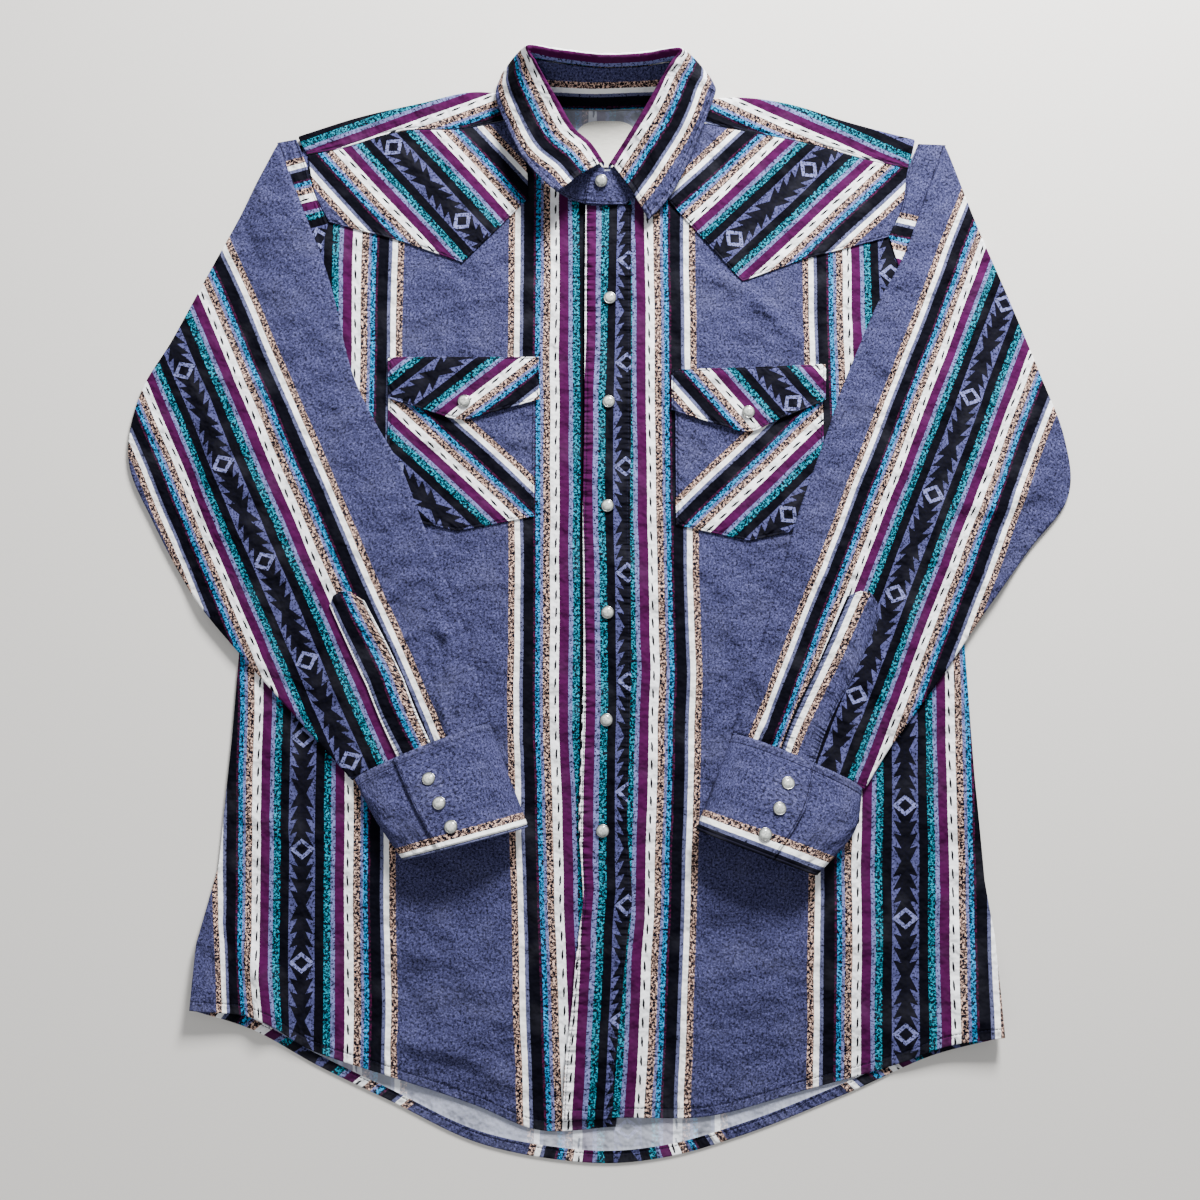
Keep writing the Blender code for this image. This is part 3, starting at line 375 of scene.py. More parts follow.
def striped_twill(name, faded=0.0):
    """Printed twill. The stripe comes from the distance d to the nearest motif row, the motif from d and the
    distance w to the nearest diamond. Faded is how far the wrong side is washed out."""
    finish = Finish(name, roughness=0.85, specular=0.05)
    u, v = finish.uv("cloth")
    side, end = finish.uv("seam")
    drift = finish.noise(u * 0.02, v * 0.012, 1.0) - 0.5
    d = (u + drift * 2.2 + (finish.noise(u * 0.5, v * 0.5, 1.0) - 0.5) * 0.5).round_trip(STRIPE_PERIOD)
    w = (v + drift * 1.5).round_trip(REPEAT)
    half = STRIPE_PERIOD / 2
    starts = [0.0] + [edge / half for edge, _, _ in STRIPES[:-1]]
    share = d / half
    dyes = [(start, dye(*colour)) for start, (_, colour, _) in zip(starts, STRIPES)]
    limits = [(start, grey(fleck)) for start, (_, _, fleck) in zip(starts, STRIPES)]
    colour = finish.node("ShaderNodeValToRGB", {"stops": dyes}, [share])
    limit = finish.node("ShaderNodeValToRGB", {"stops": limits}, [share])
    on_ground = d > STRIPES[-2][0]

    # saw teeth, eight to a repeat, lean towards the nearer diamond, which is a ring with a black eye
    tooth = ((w + d * TOOTH["lean"] - TOOTH["start"]) / TOOTH["length"]).capped(TOOTH["count"]).fraction()
    teeth = d < (TOOTH["root"] + (1 - tooth) * TOOTH["reach"])
    ring = (d / DIAMOND[0] + w / DIAMOND[1]) < 1.0
    eye = (d / EYE[0] + w / EYE[1]) < 1.0
    black = (teeth * (1 - ring) + eye) * (d < STRIPES[0][0])
    colour = finish.mix(colour, dye(*DIAMOND_DYE), ring * (1 - eye) * (d < STRIPES[0][0]))

    # slanting dashes with pointed ends run down the broad white stripe
    along = ((v + d * DASH["slant"]) / DASH["pitch"]).fraction()
    width = (DASH["point"] - abs(along - DASH["middle"]) * DASH["taper"]).capped(DASH["half_width"])
    dash = abs(d - DASH["at"]) < width
    black = (black + dash).clamped()
    colour = finish.mix(colour, dye(*INK), black)

    # flecks: small ragged spots, black on the stripes, navy and pale on the ground
    grain = 0.50 + on_ground * 0.06
    fleck = finish.noise(u * grain, v * grain, 4.0, 0.8)
    flecked = ((fleck - limit + 0.032 - on_ground * 0.024) * 42).clamped()
    colour = finish.mix(colour, dye(*FLECK_INK), flecked * (1 - on_ground * 0.15))
    pale = ((0.45 - finish.noise(u * 0.55 + 40, v * 0.6, 4.0, 0.8)) * 20).clamped()
    colour = finish.mix(colour, dye(*PALE_FLECK), pale * on_ground * 0.55)
    if faded:
        colour = finish.mix(colour, dye(*WASHED_OUT), faded)

    # light wear along the stitched edges, and soft patches where the cloth has been washed
    patches = finish.noise(u * 0.03, v * 0.03, 2.0) - 0.5
    near_edge = (1 - (side + 2.6) / 3.2).clamped() + (1 - (end + 2.6) / 3.2).clamped()
    colour = finish.mix(colour, dye(*WORN), (near_edge * 0.02 + patches * 0.10).clamped())
    colour = finish.mix(colour, dye(*DAMP), (patches * -0.55).clamped())

    # topstitching: a thread in a pressed groove, with puckers across it
    per_mm, sewn, thin = 1 / STITCH["pitch"], STITCH["thread"], STITCH["half_width"]
    thread = ((abs(side) < thin) * ((v * per_mm).fraction() < sewn)
              + (abs(end) < thin) * ((u * per_mm).fraction() < sewn)).clamped()
    colour = finish.mix(colour, dye(*THREAD_DYE), thread * 0.85)
    finish.feed("Base Color", colour)
    finish.feed("Roughness", 0.80 + fleck * 0.16 - thread * 0.15)
    reach, pull = STITCH["groove"], STITCH["pucker"]
    groove = ((1 - abs(side) / reach).clamped() + (1 - abs(end) / reach).clamped()).clamped()
    by_side = (1 - abs(side) / pull).clamped() * (finish.noise(side * 0.05, v * 0.22, 1.0) - 0.5)
    by_end = (1 - abs(end) / pull).clamped() * (finish.noise(u * 0.22, end * 0.05, 1.0) - 0.5)
    crumple = finish.noise(u * 0.045, v * 0.045, 3.0, 0.5)
    diagonal = (u + v) * (2 * math.pi / WEAVE_PITCH)
    weave = diagonal.math("SINE", diagonal)
    finish.bump(crumple * RELIEF["crumple"] + (by_side + by_end) * RELIEF["pucker"]
                - groove * RELIEF["groove"] + thread * RELIEF["thread"] + weave * RELIEF["weave"])
    return finish.material


face_side = striped_twill("striped_twill")
wrong_side = striped_twill("striped_twill_inside", faded=0.52)


def panel_print(grid, diamond, along, width=(1.0, 1.0)):
    """Place in the print of a piece cut straight: v along the stripes from a diamond, u across them, divided
    by how wide the stripes lie on either side."""
    ax, ay = np.array(along, float) / np.hypot(*along)
    dx, dy = grid[..., 0] - diamond[0], grid[..., 1] - diamond[1]
    u = dx * ay - dy * ax
    return np.dstack([np.where(u > 0, u / width[0], u / width[1]), dx * ax + dy * ay])


def outline_of(table, extra, u):
    """Straight runs through the points of a table and more, at the shares given."""
    return through(table + extra, u, smooth=False)


def sew(name, node, grid, in_print, insets, turn=1):
    """A piece of striped twill one wall thick on a grid, with stitch lines at the insets."""
    shell = cloth_shell(grid, CLOTH, in_print, stitch_lines(grid, insets), turn)
    return make_piece(name, [shell], [face_side, wrong_side], node)


across = shares_of(BACK_WIDTH, 5.0)
hem_rows = np.array(HEM_ROWS) / BACK_LENGTH
along = shares_of(BACK_LENGTH, 5.0, also=hem_rows)
right = outline_of(SIDE_RIGHT, ARMHOLE_RIGHT[1:4] + [BACK_CORNERS[0]], along)
left = outline_of(SIDE_LEFT, ARMHOLE_LEFT[1:4] + [BACK_CORNERS[1]], along)
top = right[-1] + (left[-1] - right[-1]) * across[:, None]
flat = patch(through(BACK_HEM, across), top, right, left, across, along)
back = stand_on(flat, ground)
in_print = panel_print(back, *BACK_PRINT)
# the turned hem shows the right side, mirrored about the hem line
hem_line = flat[0]
outward = np.gradient(hem_line, axis=0)[:, ::-1] * (1, -1)
outward /= np.linalg.norm(outward, axis=1, keepdims=True)
beyond = np.sum((flat - hem_line) * outward, axis=2, keepdims=True)
turned = panel_print(flat - 2 * beyond * outward, *BACK_PRINT)
hem_count = int(np.sum(along <= hem_rows[3] + 1e-6))
seams = stitch_lines(back, (None, None, HEM_TURN - 1.2, None))
thickness = CLOTH * (THINNED + (1 - THINNED) * (np.arange(len(along)) < hem_count))[:, None]
shell = cloth_shell(back, thickness, in_print, seams, band=(hem_count, turned, 2))
back_piece = make_piece("back_panel", [shell], [wrong_side, face_side, face_side], "back")

# ================================================================ Back yoke
# The yoke joins back and fronts. Its outer cloth comes over each shoulder with the stripes along the shoulder
# and is felled to the front over a hidden seam; inside the neck the pale wrong side of its lining shows.
SHOULDER_RIGHT = [(-251, 379), (-200, 396), (-150, 408), (-104, 418), (-78, 416)]
SHOULDER_LEFT = [(262, 376), (243, 381), (208, 391), (155, 408), (120, 413), (84, 411)]
FRONT_SEAM_RIGHT = [(-244, 363), (-221, 367), (-162, 384), (-117, 386), (-78, 393)]
FRONT_SEAM_LEFT = [(256, 351), (227, 357), (171, 373), (127, 382), (82, 391)]
NECK_OF_BACK = [(-78, 416), (-62, 408), (0, 405), (58, 407), (84, 411)]
YOKE_FOOT = [(-238, BACK_SEAM), (257, BACK_SEAM)]
FOLD_RADIUS, FOLD_STEPS, FELLED_GAP, FELLED_STITCH = 2.7, 15, 0.3, 1.6
SHOULDER_PRINT = {"right": ((-136, 434), (0.935, 0.354)), "left": ((144, 434), (0.909, -0.417))}
YOKE_LINING_PRINT = ((30, 397), (0, 1))

across = shares_of(500, 4.0)
outline = np.concatenate([SHOULDER_RIGHT[:-1], NECK_OF_BACK[:-1], SHOULDER_LEFT[::-1]])
top = through(outline.tolist(), across, smooth=False) - (0, FOLD_RADIUS)
along = shares_of(110, 5.0)
lower = through(YOKE_FOOT, across, smooth=False)
flat = patch(lower, top, *straight_sides(lower, top, along), across, along)
lining = stand_on(flat, lambda x, y: 0 * x)
in_print = panel_print(lining, *YOKE_LINING_PRINT)
shells = [cloth_shell(lining, CLOTH, in_print, stitch_lines(lining, [None] * 4))]
# the wall lies inwards of the yoke's grids, so the face and the back change places
shells[0][4][:] = 1 - shells[0][4]
for side, shoulder, seam in (("right", SHOULDER_RIGHT, FRONT_SEAM_RIGHT),
                             ("left", SHOULDER_LEFT[::-1], FRONT_SEAM_LEFT[::-1])):
    across = shares_of(190, 3.0)
    start, end = through(shoulder, across) - (0, FOLD_RADIUS), through(seam, across)
    turn = np.linspace(0, math.pi, FOLD_STEPS)[:, None]
    x = np.repeat(start[None, :, 0], FOLD_STEPS, axis=0)
    roll = np.dstack([x, start[None, :, 1] + FOLD_RADIUS * np.sin(turn),
                      FOLD_RADIUS * (1 - np.cos(turn)) + 0 * x])
    share = shares_of(25, 2.0)[len(CUT_EDGE_ROWS):, None]
    plan = start[None] + share[..., None] * (end - start)[None]
    rise = (3 * LAYER - FELLED_GAP - 2 * FOLD_RADIUS) * smoothstep(share, 0, 1)
    fold = np.concatenate([roll, np.dstack([plan, 2 * FOLD_RADIUS + rise + 0 * plan[..., 0]])])
    in_print = panel_print(fold, *SHOULDER_PRINT[side])
    shell = cloth_shell(fold, CLOTH, in_print, stitch_lines(fold, (None, None, None, FELLED_STITCH)))
    shell[4][:] = 1 - shell[4]
    shells.append(shell)
yoke_piece = make_piece("shoulder_yoke", shells, [face_side, wrong_side], "back_yoke")

# ================================================================ Fronts
# Two panels that lie on the back and meet under the placket; the left one laps over the right one. They carry
# the creases of a shirt that was folded and then laid out: soft ridges, none of them straight or even.
FRONT_HEM_RIGHT = [(-313, -327), (-261, -334), (-226, -355), (-162, -376), (-93, -399), (-49, -416),
                   (12, -414)]
FRONT_HEM_LEFT = [(-27, -408), (20, -407), (76, -407), (157, -387), (232, -366), (264, -354), (308, -347)]
CENTRE_RIGHT = [(12, -414), (20, -330), (24, -230), (24, 200), (22, 318)]
CENTRE_LEFT = [(-27, -408), (-25, -370), (-19, -320), (-11, -230), (-9, 211), (-10, 318)]
NECK_RIGHT = [(-76, 401), (-66, 378), (-54, 357), (-39, 340), (-23, 328), (-6, 321), (22, 318)]
NECK_LEFT = [(79, 399), (61, 366), (51, 346), (38, 331), (18, 321), (-10, 318)]
FRONT_LENGTH, FRONT_WIDTH_RIGHT, FRONT_WIDTH_LEFT, PANEL_STEP = 770, 325, 335, 3.6
NECK_POINT_RIGHT, NECK_POINT_LEFT = 0.545454545, 0.44  # where the neck meets the shoulder: share of the top
SEAM_ALLOWANCE = 8
LAP = (30, 50)
HEM_STITCH = 7.0
FRONTS_PART = (1.6, 45)
# creases: a run of points, height and width
FOLDS = [([(-170, -372), (-80, -335)], 2.6, 26), ([(110, -330), (210, -270)], 2.0, 30),
         ([(-125, -285), (-80, -330)], 1.4, 24)]
CREASES = [([(80, 266), (123, 242), (163, 204)], 1.7, 6), ([(-145, 224), (-110, 236), (-80, 240)], 1.0, 6),
           ([(75, -305), (118, -293), (160, -287)], 1.3, 7),
           ([(-150, -260), (-118, -268), (-96, -290)], 1.2, 8),
           ([(-148, -352), (-100, -362), (-62, -385)], 1.6, 9), ([(-60, -120), (-35, -127)], 0.9, 5),
           ([(190, -60), (235, -95), (262, -150)], 1.2, 12), ([(-270, -180), (-220, -196)], 1.1, 10),
           ([(85, 20), (112, -20), (118, -70)], 1.0, 14), ([(88, -150), (130, -172)], 0.9, 9),
           ([(-285, -262), (-262, -300), (-256, -338)], 1.8, 10), ([(262, -240), (285, -300)], 1.6, 12),
           ([(-70, 120), (-40, 112), (-20, 122)], 0.7, 5), ([(200, 215), (232, 180)], 1.0, 9)]
CREASE_DEPTH, CREASE_WIDTH = 1.7, 0.75
SLACK, SLACK_ENDS, SLACK_FADES = 0.45, 300, 60  # height of the slow waves, and where they end below the neck
CAP_ALLOWANCE = 4
# where each front's stripes lie: y, then x of the lines of the print named under "at", which follow
PRINT_RIGHT = {"at": (-72.3, -28.75, 0.0, 72.3, 160.7, 233.0), "diamond": -206,
               "lines": [(-408, -290.5, -251.5, -228.0, -153.9, -63.4, 13.0),
                         (-343, -291.5, -252.5, -229.4, -155.7, -65.6, 10.1),
                         (-303, -294.5, -258.6, -230.2, -156.8, -67.0, 8.3),
                         (-251, -299.5, -259.8, -231.4, -158.2, -68.7, 6.6),
                         (-206, -302.5, -260.7, -232.4, -159.4, -70.1, 5.1),
                         (-115, -305.0, -262.0, -233.6, -161.5, -73.3, 1.4),
                         (-67, -306.8, -263.0, -234.0, -161.5, -72.8, 1.5),
                         (-20, -307.0, -263.4, -234.5, -162.0, -73.3, 1.2),
                         (150, -308.0, -265.0, -236.5, -162.0, -74.6, 1.3),
                         (240, -308.0, -266.0, -238.0, -161.8, -75.3, 0.8)]}
PRINT_LEFT = {"at": (28.75, 72.3, 160.7, 233.0, 300.0), "diamond": -172.6,
              "lines": [(-406, 22.0, 68.9, 156.2, 232.2, 303.5), (-354, 25.6, 70.7, 158.5, 233.7, 304.3),
                        (-290, 27.4, 72.5, 160.0, 235.3, 305.8), (-259, 30.6, 74.2, 161.2, 236.3, 306.7),
                        (-227, 31.2, 76.0, 162.2, 237.1, 307.5), (-160, 32.8, 78.3, 165.0, 239.0, 307.5),
                        (-100, 34.7, 80.0, 167.0, 240.1, 307.5), (-67, 35.7, 80.9, 168.0, 240.5, 307.5),
                        (-35, 34.7, 80.8, 168.0, 240.4, 307.4), (28, 33.9, 79.0, 167.4, 240.2, 307.2),
                        (50, 33.3, 78.9, 167.2, 240.2, 307.0), (240, 32.8, 78.6, 166.8, 239.5, 306.5)]}


def crease_height(x, y, creases, deeper=1.0, wider=1.0):
    """Each crease is a bell of the distance from its run; where they meet, they add up."""
    height = np.zeros(np.shape(x))
    for run, top, width in creases:
        away = np.minimum.reduce([distance_to_run(x, y, a, b) for a, b in zip(run, run[1:])])
        height = height + deeper * top * np.exp(-(away / (width * wider))**2)
    return height


def unevenness(x, y):
    """Slow waves of a cloth that isn't pressed flat: two products of sines, never below nothing."""
    across = 1 + np.sin(x / 23 + 1.7 * np.sin(y / 47))
    along = 0.5 + 0.5 * np.sin(y / 31 + 1.2 * np.sin(x / 39))
    return SLACK * across * along * smoothstep(SLACK_ENDS - y, 0, SLACK_FADES)


def lie(x, y, layers):
    """Underside of what has this many layers below it: lifted corners, folds, creases and layers add up."""
    return (ground(x, y, *FRONTS_PART) + crease_height(x, y, FOLDS)
            + crease_height(x, y, CREASES, CREASE_DEPTH, CREASE_WIDTH) + unevenness(x, y) + layers * LAYER)


def lapped(x):
    """How many layers lie under the left front: two over the right front, and one beyond it."""
    return 2 - smoothstep(x, *LAP)


def on_front(side, x, y, layers):
    """Underside of a piece this many layers up on one front."""
    return lie(x, y, layers + (lapped(x) if side == "left" else 1))


def cornered(points, shares, corner, at):
    """Straight runs at the given shares of the length, with the corner point exactly at the share named."""
    before = through(points[:corner + 1], shares[shares <= at] / at, smooth=False)
    after = through(points[corner:], (shares[shares >= at] - at) / (1 - at), smooth=False)
    return np.concatenate([before, after[1:]])


def hung_print(grid, lines, at, diamond):
    """Place in the print: straight between its lines, which lean as the cloth does, and on beyond them."""
    x, y = grid[..., 0], grid[..., 1]
    table = np.array(lines, float)
    places = [np.interp(y, table[:, 0], column) for column in table[:, 1:].T]
    u = None
    for near, far, first, last in zip(places, places[1:], at, at[1:]):
        run = first + (last - first) * (x - near) / (far - near)
        u = run if u is None else np.where(x > near, run, u)
    return np.dstack([u, y - diamond])


def under_cap(armhole, way):
    """An armhole line that runs on under the sleeve cap, so that no gap shows beside the seam."""
    return armhole[:2] + [(x + way * CAP_ALLOWANCE, y) for x, y in armhole[2:]]


armhole_right, armhole_left = under_cap(ARMHOLE_RIGHT, -1), under_cap(ARMHOLE_LEFT, 1)
seam_right = armhole_right[-1:] + [(x, y + SEAM_ALLOWANCE) for x, y in FRONT_SEAM_RIGHT]
seam_left = armhole_left[-1:] + [(x, y + SEAM_ALLOWANCE) for x, y in FRONT_SEAM_LEFT]
along = shares_of(FRONT_LENGTH, PANEL_STEP)
across = shares_of(FRONT_WIDTH_RIGHT, PANEL_STEP, also=(NECK_POINT_RIGHT,))
top = cornered(seam_right + NECK_RIGHT[1:], across, len(seam_right) - 1, NECK_POINT_RIGHT)
flat = patch(through(FRONT_HEM_RIGHT, across), top, outline_of(SIDE_RIGHT, armhole_right[1:], along),
             through(CENTRE_RIGHT, along), across, along)
front = stand_on(flat, lambda x, y: lie(x, y, 1))
front_right = sew("front_panel_right", "front_right", front, hung_print(front, **PRINT_RIGHT),
                  (None, None, HEM_STITCH, None))

across = shares_of(FRONT_WIDTH_LEFT, PANEL_STEP, also=(NECK_POINT_LEFT,))
top = cornered(NECK_LEFT[::-1] + seam_left[::-1][1:], across, len(NECK_LEFT) - 1, NECK_POINT_LEFT)
flat = patch(through(FRONT_HEM_LEFT, across), top, through(CENTRE_LEFT, along),
             outline_of(SIDE_LEFT, armhole_left[1:], along), across, along)
front = stand_on(flat, lambda x, y: lie(x, y, lapped(x)))
front_left = sew("front_panel_left", "front_left", front, hung_print(front, **PRINT_LEFT),
                 (None, None, HEM_STITCH, None))

# ================================================================ Placket
# A straight band sewn down the left front's edge with its own run of the stripes. Its stitching and the snaps
# have drawn it into small puckers about 9 mm apart.
PLACKET_EDGE = [(-29, -408), (-27, -370), (-21, -320), (-19.3, -297), (-16.3, -270), (-13.3, -248),
                (-14.3, -222), (-16.6, -190), (-15.9, -160), (-14.5, -110), (-13.2, -60), (-13.4, 0),
                (-13.8, 60), (-12.8, 130), (-12.5, 240), (-12, 318)]
PLACKET_WIDTH, PLACKET_LENGTH, PLACKET_STITCH = 38, 728, 2.2
# where the motif's middle lies on the band: y, x
PLACKET_MOTIF = [(-405, 12.5), (-354, 15.9), (-297, 18.9), (-260, 20.3), (-236, 22.3), (-213, 21.3),
                 (-187, 21.0), (-147, 21.9), (-107, 22.7), (-67, 23.0), (9, 22.05), (84, 20.7), (124, 20.8),
                 (160, 21.4), (220, 23.3), (318, 24.0)]
# the stripes lie wider or narrower here than in the print: distance from the motif, place in the print
PLACKET_STRIPES = [(-41.4, -39.75), (-34.05, -32.4), (-26.25, -25.1), (-21.95, -21.9), (-16.65, -16.8),
                   (-9.75, -9.75), (30, 30)]
PLACKET_DIAMOND = 11
PUCKER = {"height": 0.8, "pitch": 9.2, "reach": 9.0, "left": 6, "right": 4, "right_share": 0.6}

along = shares_of(PLACKET_LENGTH, 1.8)
across = shares_of(PLACKET_WIDTH, 2.0)
edge = through(PLACKET_EDGE, along)
flat = edge[:, None] + np.stack([across * PLACKET_WIDTH, 0 * across], axis=-1)[None]
band = stand_on(flat, lambda x, y: on_front("left", x, y, 1))
from_left, from_right, _, _ = edge_distances(band)
wave = np.sin(2 * math.pi * band[..., 1] / PUCKER["pitch"] + 1.9 * np.sin(band[..., 1] / 17))
pull = (np.exp(-((from_left - PUCKER["left"]) / PUCKER["reach"])**2)
        + PUCKER["right_share"] * np.exp(-((from_right - PUCKER["right"]) / PUCKER["reach"])**2))
band[..., 2] += PUCKER["height"] * (1 + wave) / 2 * pull
motif = np.interp(band[..., 1], *np.array(PLACKET_MOTIF, float).T)
in_print = np.dstack([np.interp(band[..., 0] - motif, *np.array(PLACKET_STRIPES).T),
                      band[..., 1] - PLACKET_DIAMOND])
placket = sew("placket_band", "front_placket", band, in_print,
              (PLACKET_STITCH, PLACKET_STITCH, HEM_STITCH, None))

# ================================================================ Front yokes and armhole strips
# Pointed western yokes, cut on the bias so that their stripes run down to the placket, turned under and
# topstitched. Beside each one a narrow strip with the print across it runs down the armhole.
YOKES = {"right": {"top": [(-243, 362), (-221, 366.2), (-162, 383.2), (-117, 384.8), (-78, 391.5)],
                   "inner": [(-60, 324), (-61, 352), (-68, 372), (-78, 391.5)],
                   "lower": [(-224, 304), (-162, 287), (-113, 269), (-60, 324)],
                   "outer": [(-224, 304), (-236, 328), (-243, 362)],
                   "print": ((-171.9, 369.2), (58.1, -64.4))},
         "left": {"top": [(255, 350), (227, 356.5), (171, 372.5), (127, 381.5), (83, 390)],
                  "inner": [(57, 322), (58, 349), (66, 366), (83, 390)],
                  "lower": [(238, 291), (165, 271), (117, 253), (57, 322)],
                  "outer": [(238, 291), (250, 318), (255, 350)], "print": ((173.5, 349.5), (-62.3, -59.9))}}
YOKE_POINT = 0.6  # where the yoke's point lies: share of its lower edge
YOKE_STITCH, STRIP_STITCH = 1.8, 1.6
STRIPS = {"right": {"inner": [(-224.6, 303), (-236.6, 328), (-243.6, 352), (-253, 376)],
                    "outer": armhole_right[3:], "peach": (-251.1, 358.5), "purple": (-238.3, 313.5)},
          "left": {"inner": [(238.6, 291), (250.6, 318), (255.6, 349), (265, 372)],
                   "outer": armhole_left[3:], "peach": (250.6, 310.9), "purple": (240.3, 267.9)}}
PEACH_AT = 71.5

for side, shape in YOKES.items():
    turn = 1 if side == "right" else -1
    across, along = shares_of(190, 3.0, also=(YOKE_POINT,)), shares_of(80, 3.0)
    flat = patch(cornered(shape["lower"], across, 2, YOKE_POINT), through(shape["top"], across),
                 through(shape["outer"], along), through(shape["inner"], along), across, along)
    yoke = stand_on(flat, lambda x, y: on_front(side, x, y, 1))
    piece = sew(f"pointed_yoke_{side}", f"front_yoke_{side}", yoke, panel_print(yoke, *shape["print"]),
                (None, None, YOKE_STITCH, None), turn)

    strip = STRIPS[side]
    across, along = shares_of(14, 2.0), shares_of(85, 3.0)
    inner, outer = through(strip["inner"], along), through(strip["outer"], along, smooth=False)
    flat = outer[:, None] + (inner - outer)[:, None] * across[None, :, None]
    band = stand_on(flat, lambda x, y: on_front(side, x, y, 1))
    peach, purple = np.array(strip["peach"]), np.array(strip["purple"])
    down = (purple - peach) / np.linalg.norm(purple - peach)
    from_peach = (band[..., :2] - peach) @ down
    in_print = np.dstack([PEACH_AT - from_peach, (band[..., :2] - peach) @ (down[::-1] * (1, -1))])
    piece = sew(f"armhole_band_{side}", f"armhole_strip_{side}", band, in_print,
                (STRIP_STITCH, STRIP_STITCH, None, None), turn)

# ================================================================ Chest pockets and flaps
# Patch pockets with a pointed end, their stripes falling towards the placket, each under a flap whose stripes
# rise towards it. The flaps are topstitched all round and stand a little off the pocket at their edge.
POCKETS = {"right": {"x": (-172, -53), "top": 177, "corner": 57, "point": (-114, 45),
                     "print": ((-102, 35), (0.73, -0.684))},
           "left": {"x": (61, 181), "top": 168, "corner": 50, "point": (120, 37),
                    "print": ((151.1, 58.4), (0.719, 0.695))}}
FLAPS = {"right": {"ends": ((-173, 189), (-50, 189)), "print": ((-99.4, 202.6), (0.772, 0.636)),
                   "lower": [(-172, 154), (-138, 143), (-112, 136), (-91, 141), (-49, 153)]},
         "left": {"ends": ((58, 178), (184, 183)), "print": ((156.3, 149.7), (0.636, -0.772)),
                  "lower": [(58, 144), (99, 131), (121, 126), (142, 135), (183, 152)]}}
FLAP_RAMP, FLAP_LIFT, FLAP_LIFTS_OVER = 7, 1.3, (15, 50)
EDGE_STITCH, FLAP_SEAM_STITCH = 1.7, 2.0


def flap_height(side, x, y):
    """Underside of a flap: on the front at its seam, then up onto the pocket, and lifted where it ends."""
    (x0, y0), (x1, y1) = FLAPS[side]["ends"]
    below = y0 + (x - x0) * (y1 - y0) / (x1 - x0) - y
    ramp = smoothstep(below, 0, FLAP_RAMP) * LAYER
    return on_front(side, x, y, 1) + ramp + FLAP_LIFT * smoothstep(below, *FLAP_LIFTS_OVER)


for side, size in POCKETS.items():
    (left, right), top, corner = size["x"], size["top"], size["corner"]
    across, along = shares_of(right - left, 2.8, also=(0.5,)), shares_of(top - corner, 2.8)
    lower = cornered([(left, corner), size["point"], (right, corner)], across, 1, 0.5)
    upper = np.stack([left + (right - left) * across, top + 0 * across], axis=1)
    flat = patch(lower, upper, *straight_sides(lower, upper, along), across, along)
    pocket = stand_on(flat, lambda x, y: on_front(side, x, y, 1))
    piece = sew(f"patch_pocket_{side}", f"pocket_{side}", pocket, panel_print(pocket, *size["print"]),
                (EDGE_STITCH, EDGE_STITCH, EDGE_STITCH, None))

    flap = FLAPS[side]
    start, end = np.array(flap["ends"], float)
    across, along = shares_of(124, 2.4), shares_of(45, 2.4)
    lower, upper = through(flap["lower"], across), start + (end - start) * across[:, None]
    flat = lower[None] + along[:, None, None] * (upper - lower)[None]
    cover = stand_on(flat, lambda x, y: flap_height(side, x, y))
    piece = sew(f"flap_{side}", f"pocket_flap_{side}", cover, panel_print(cover, *flap["print"]),
                (EDGE_STITCH, EDGE_STITCH, EDGE_STITCH, FLAP_SEAM_STITCH))

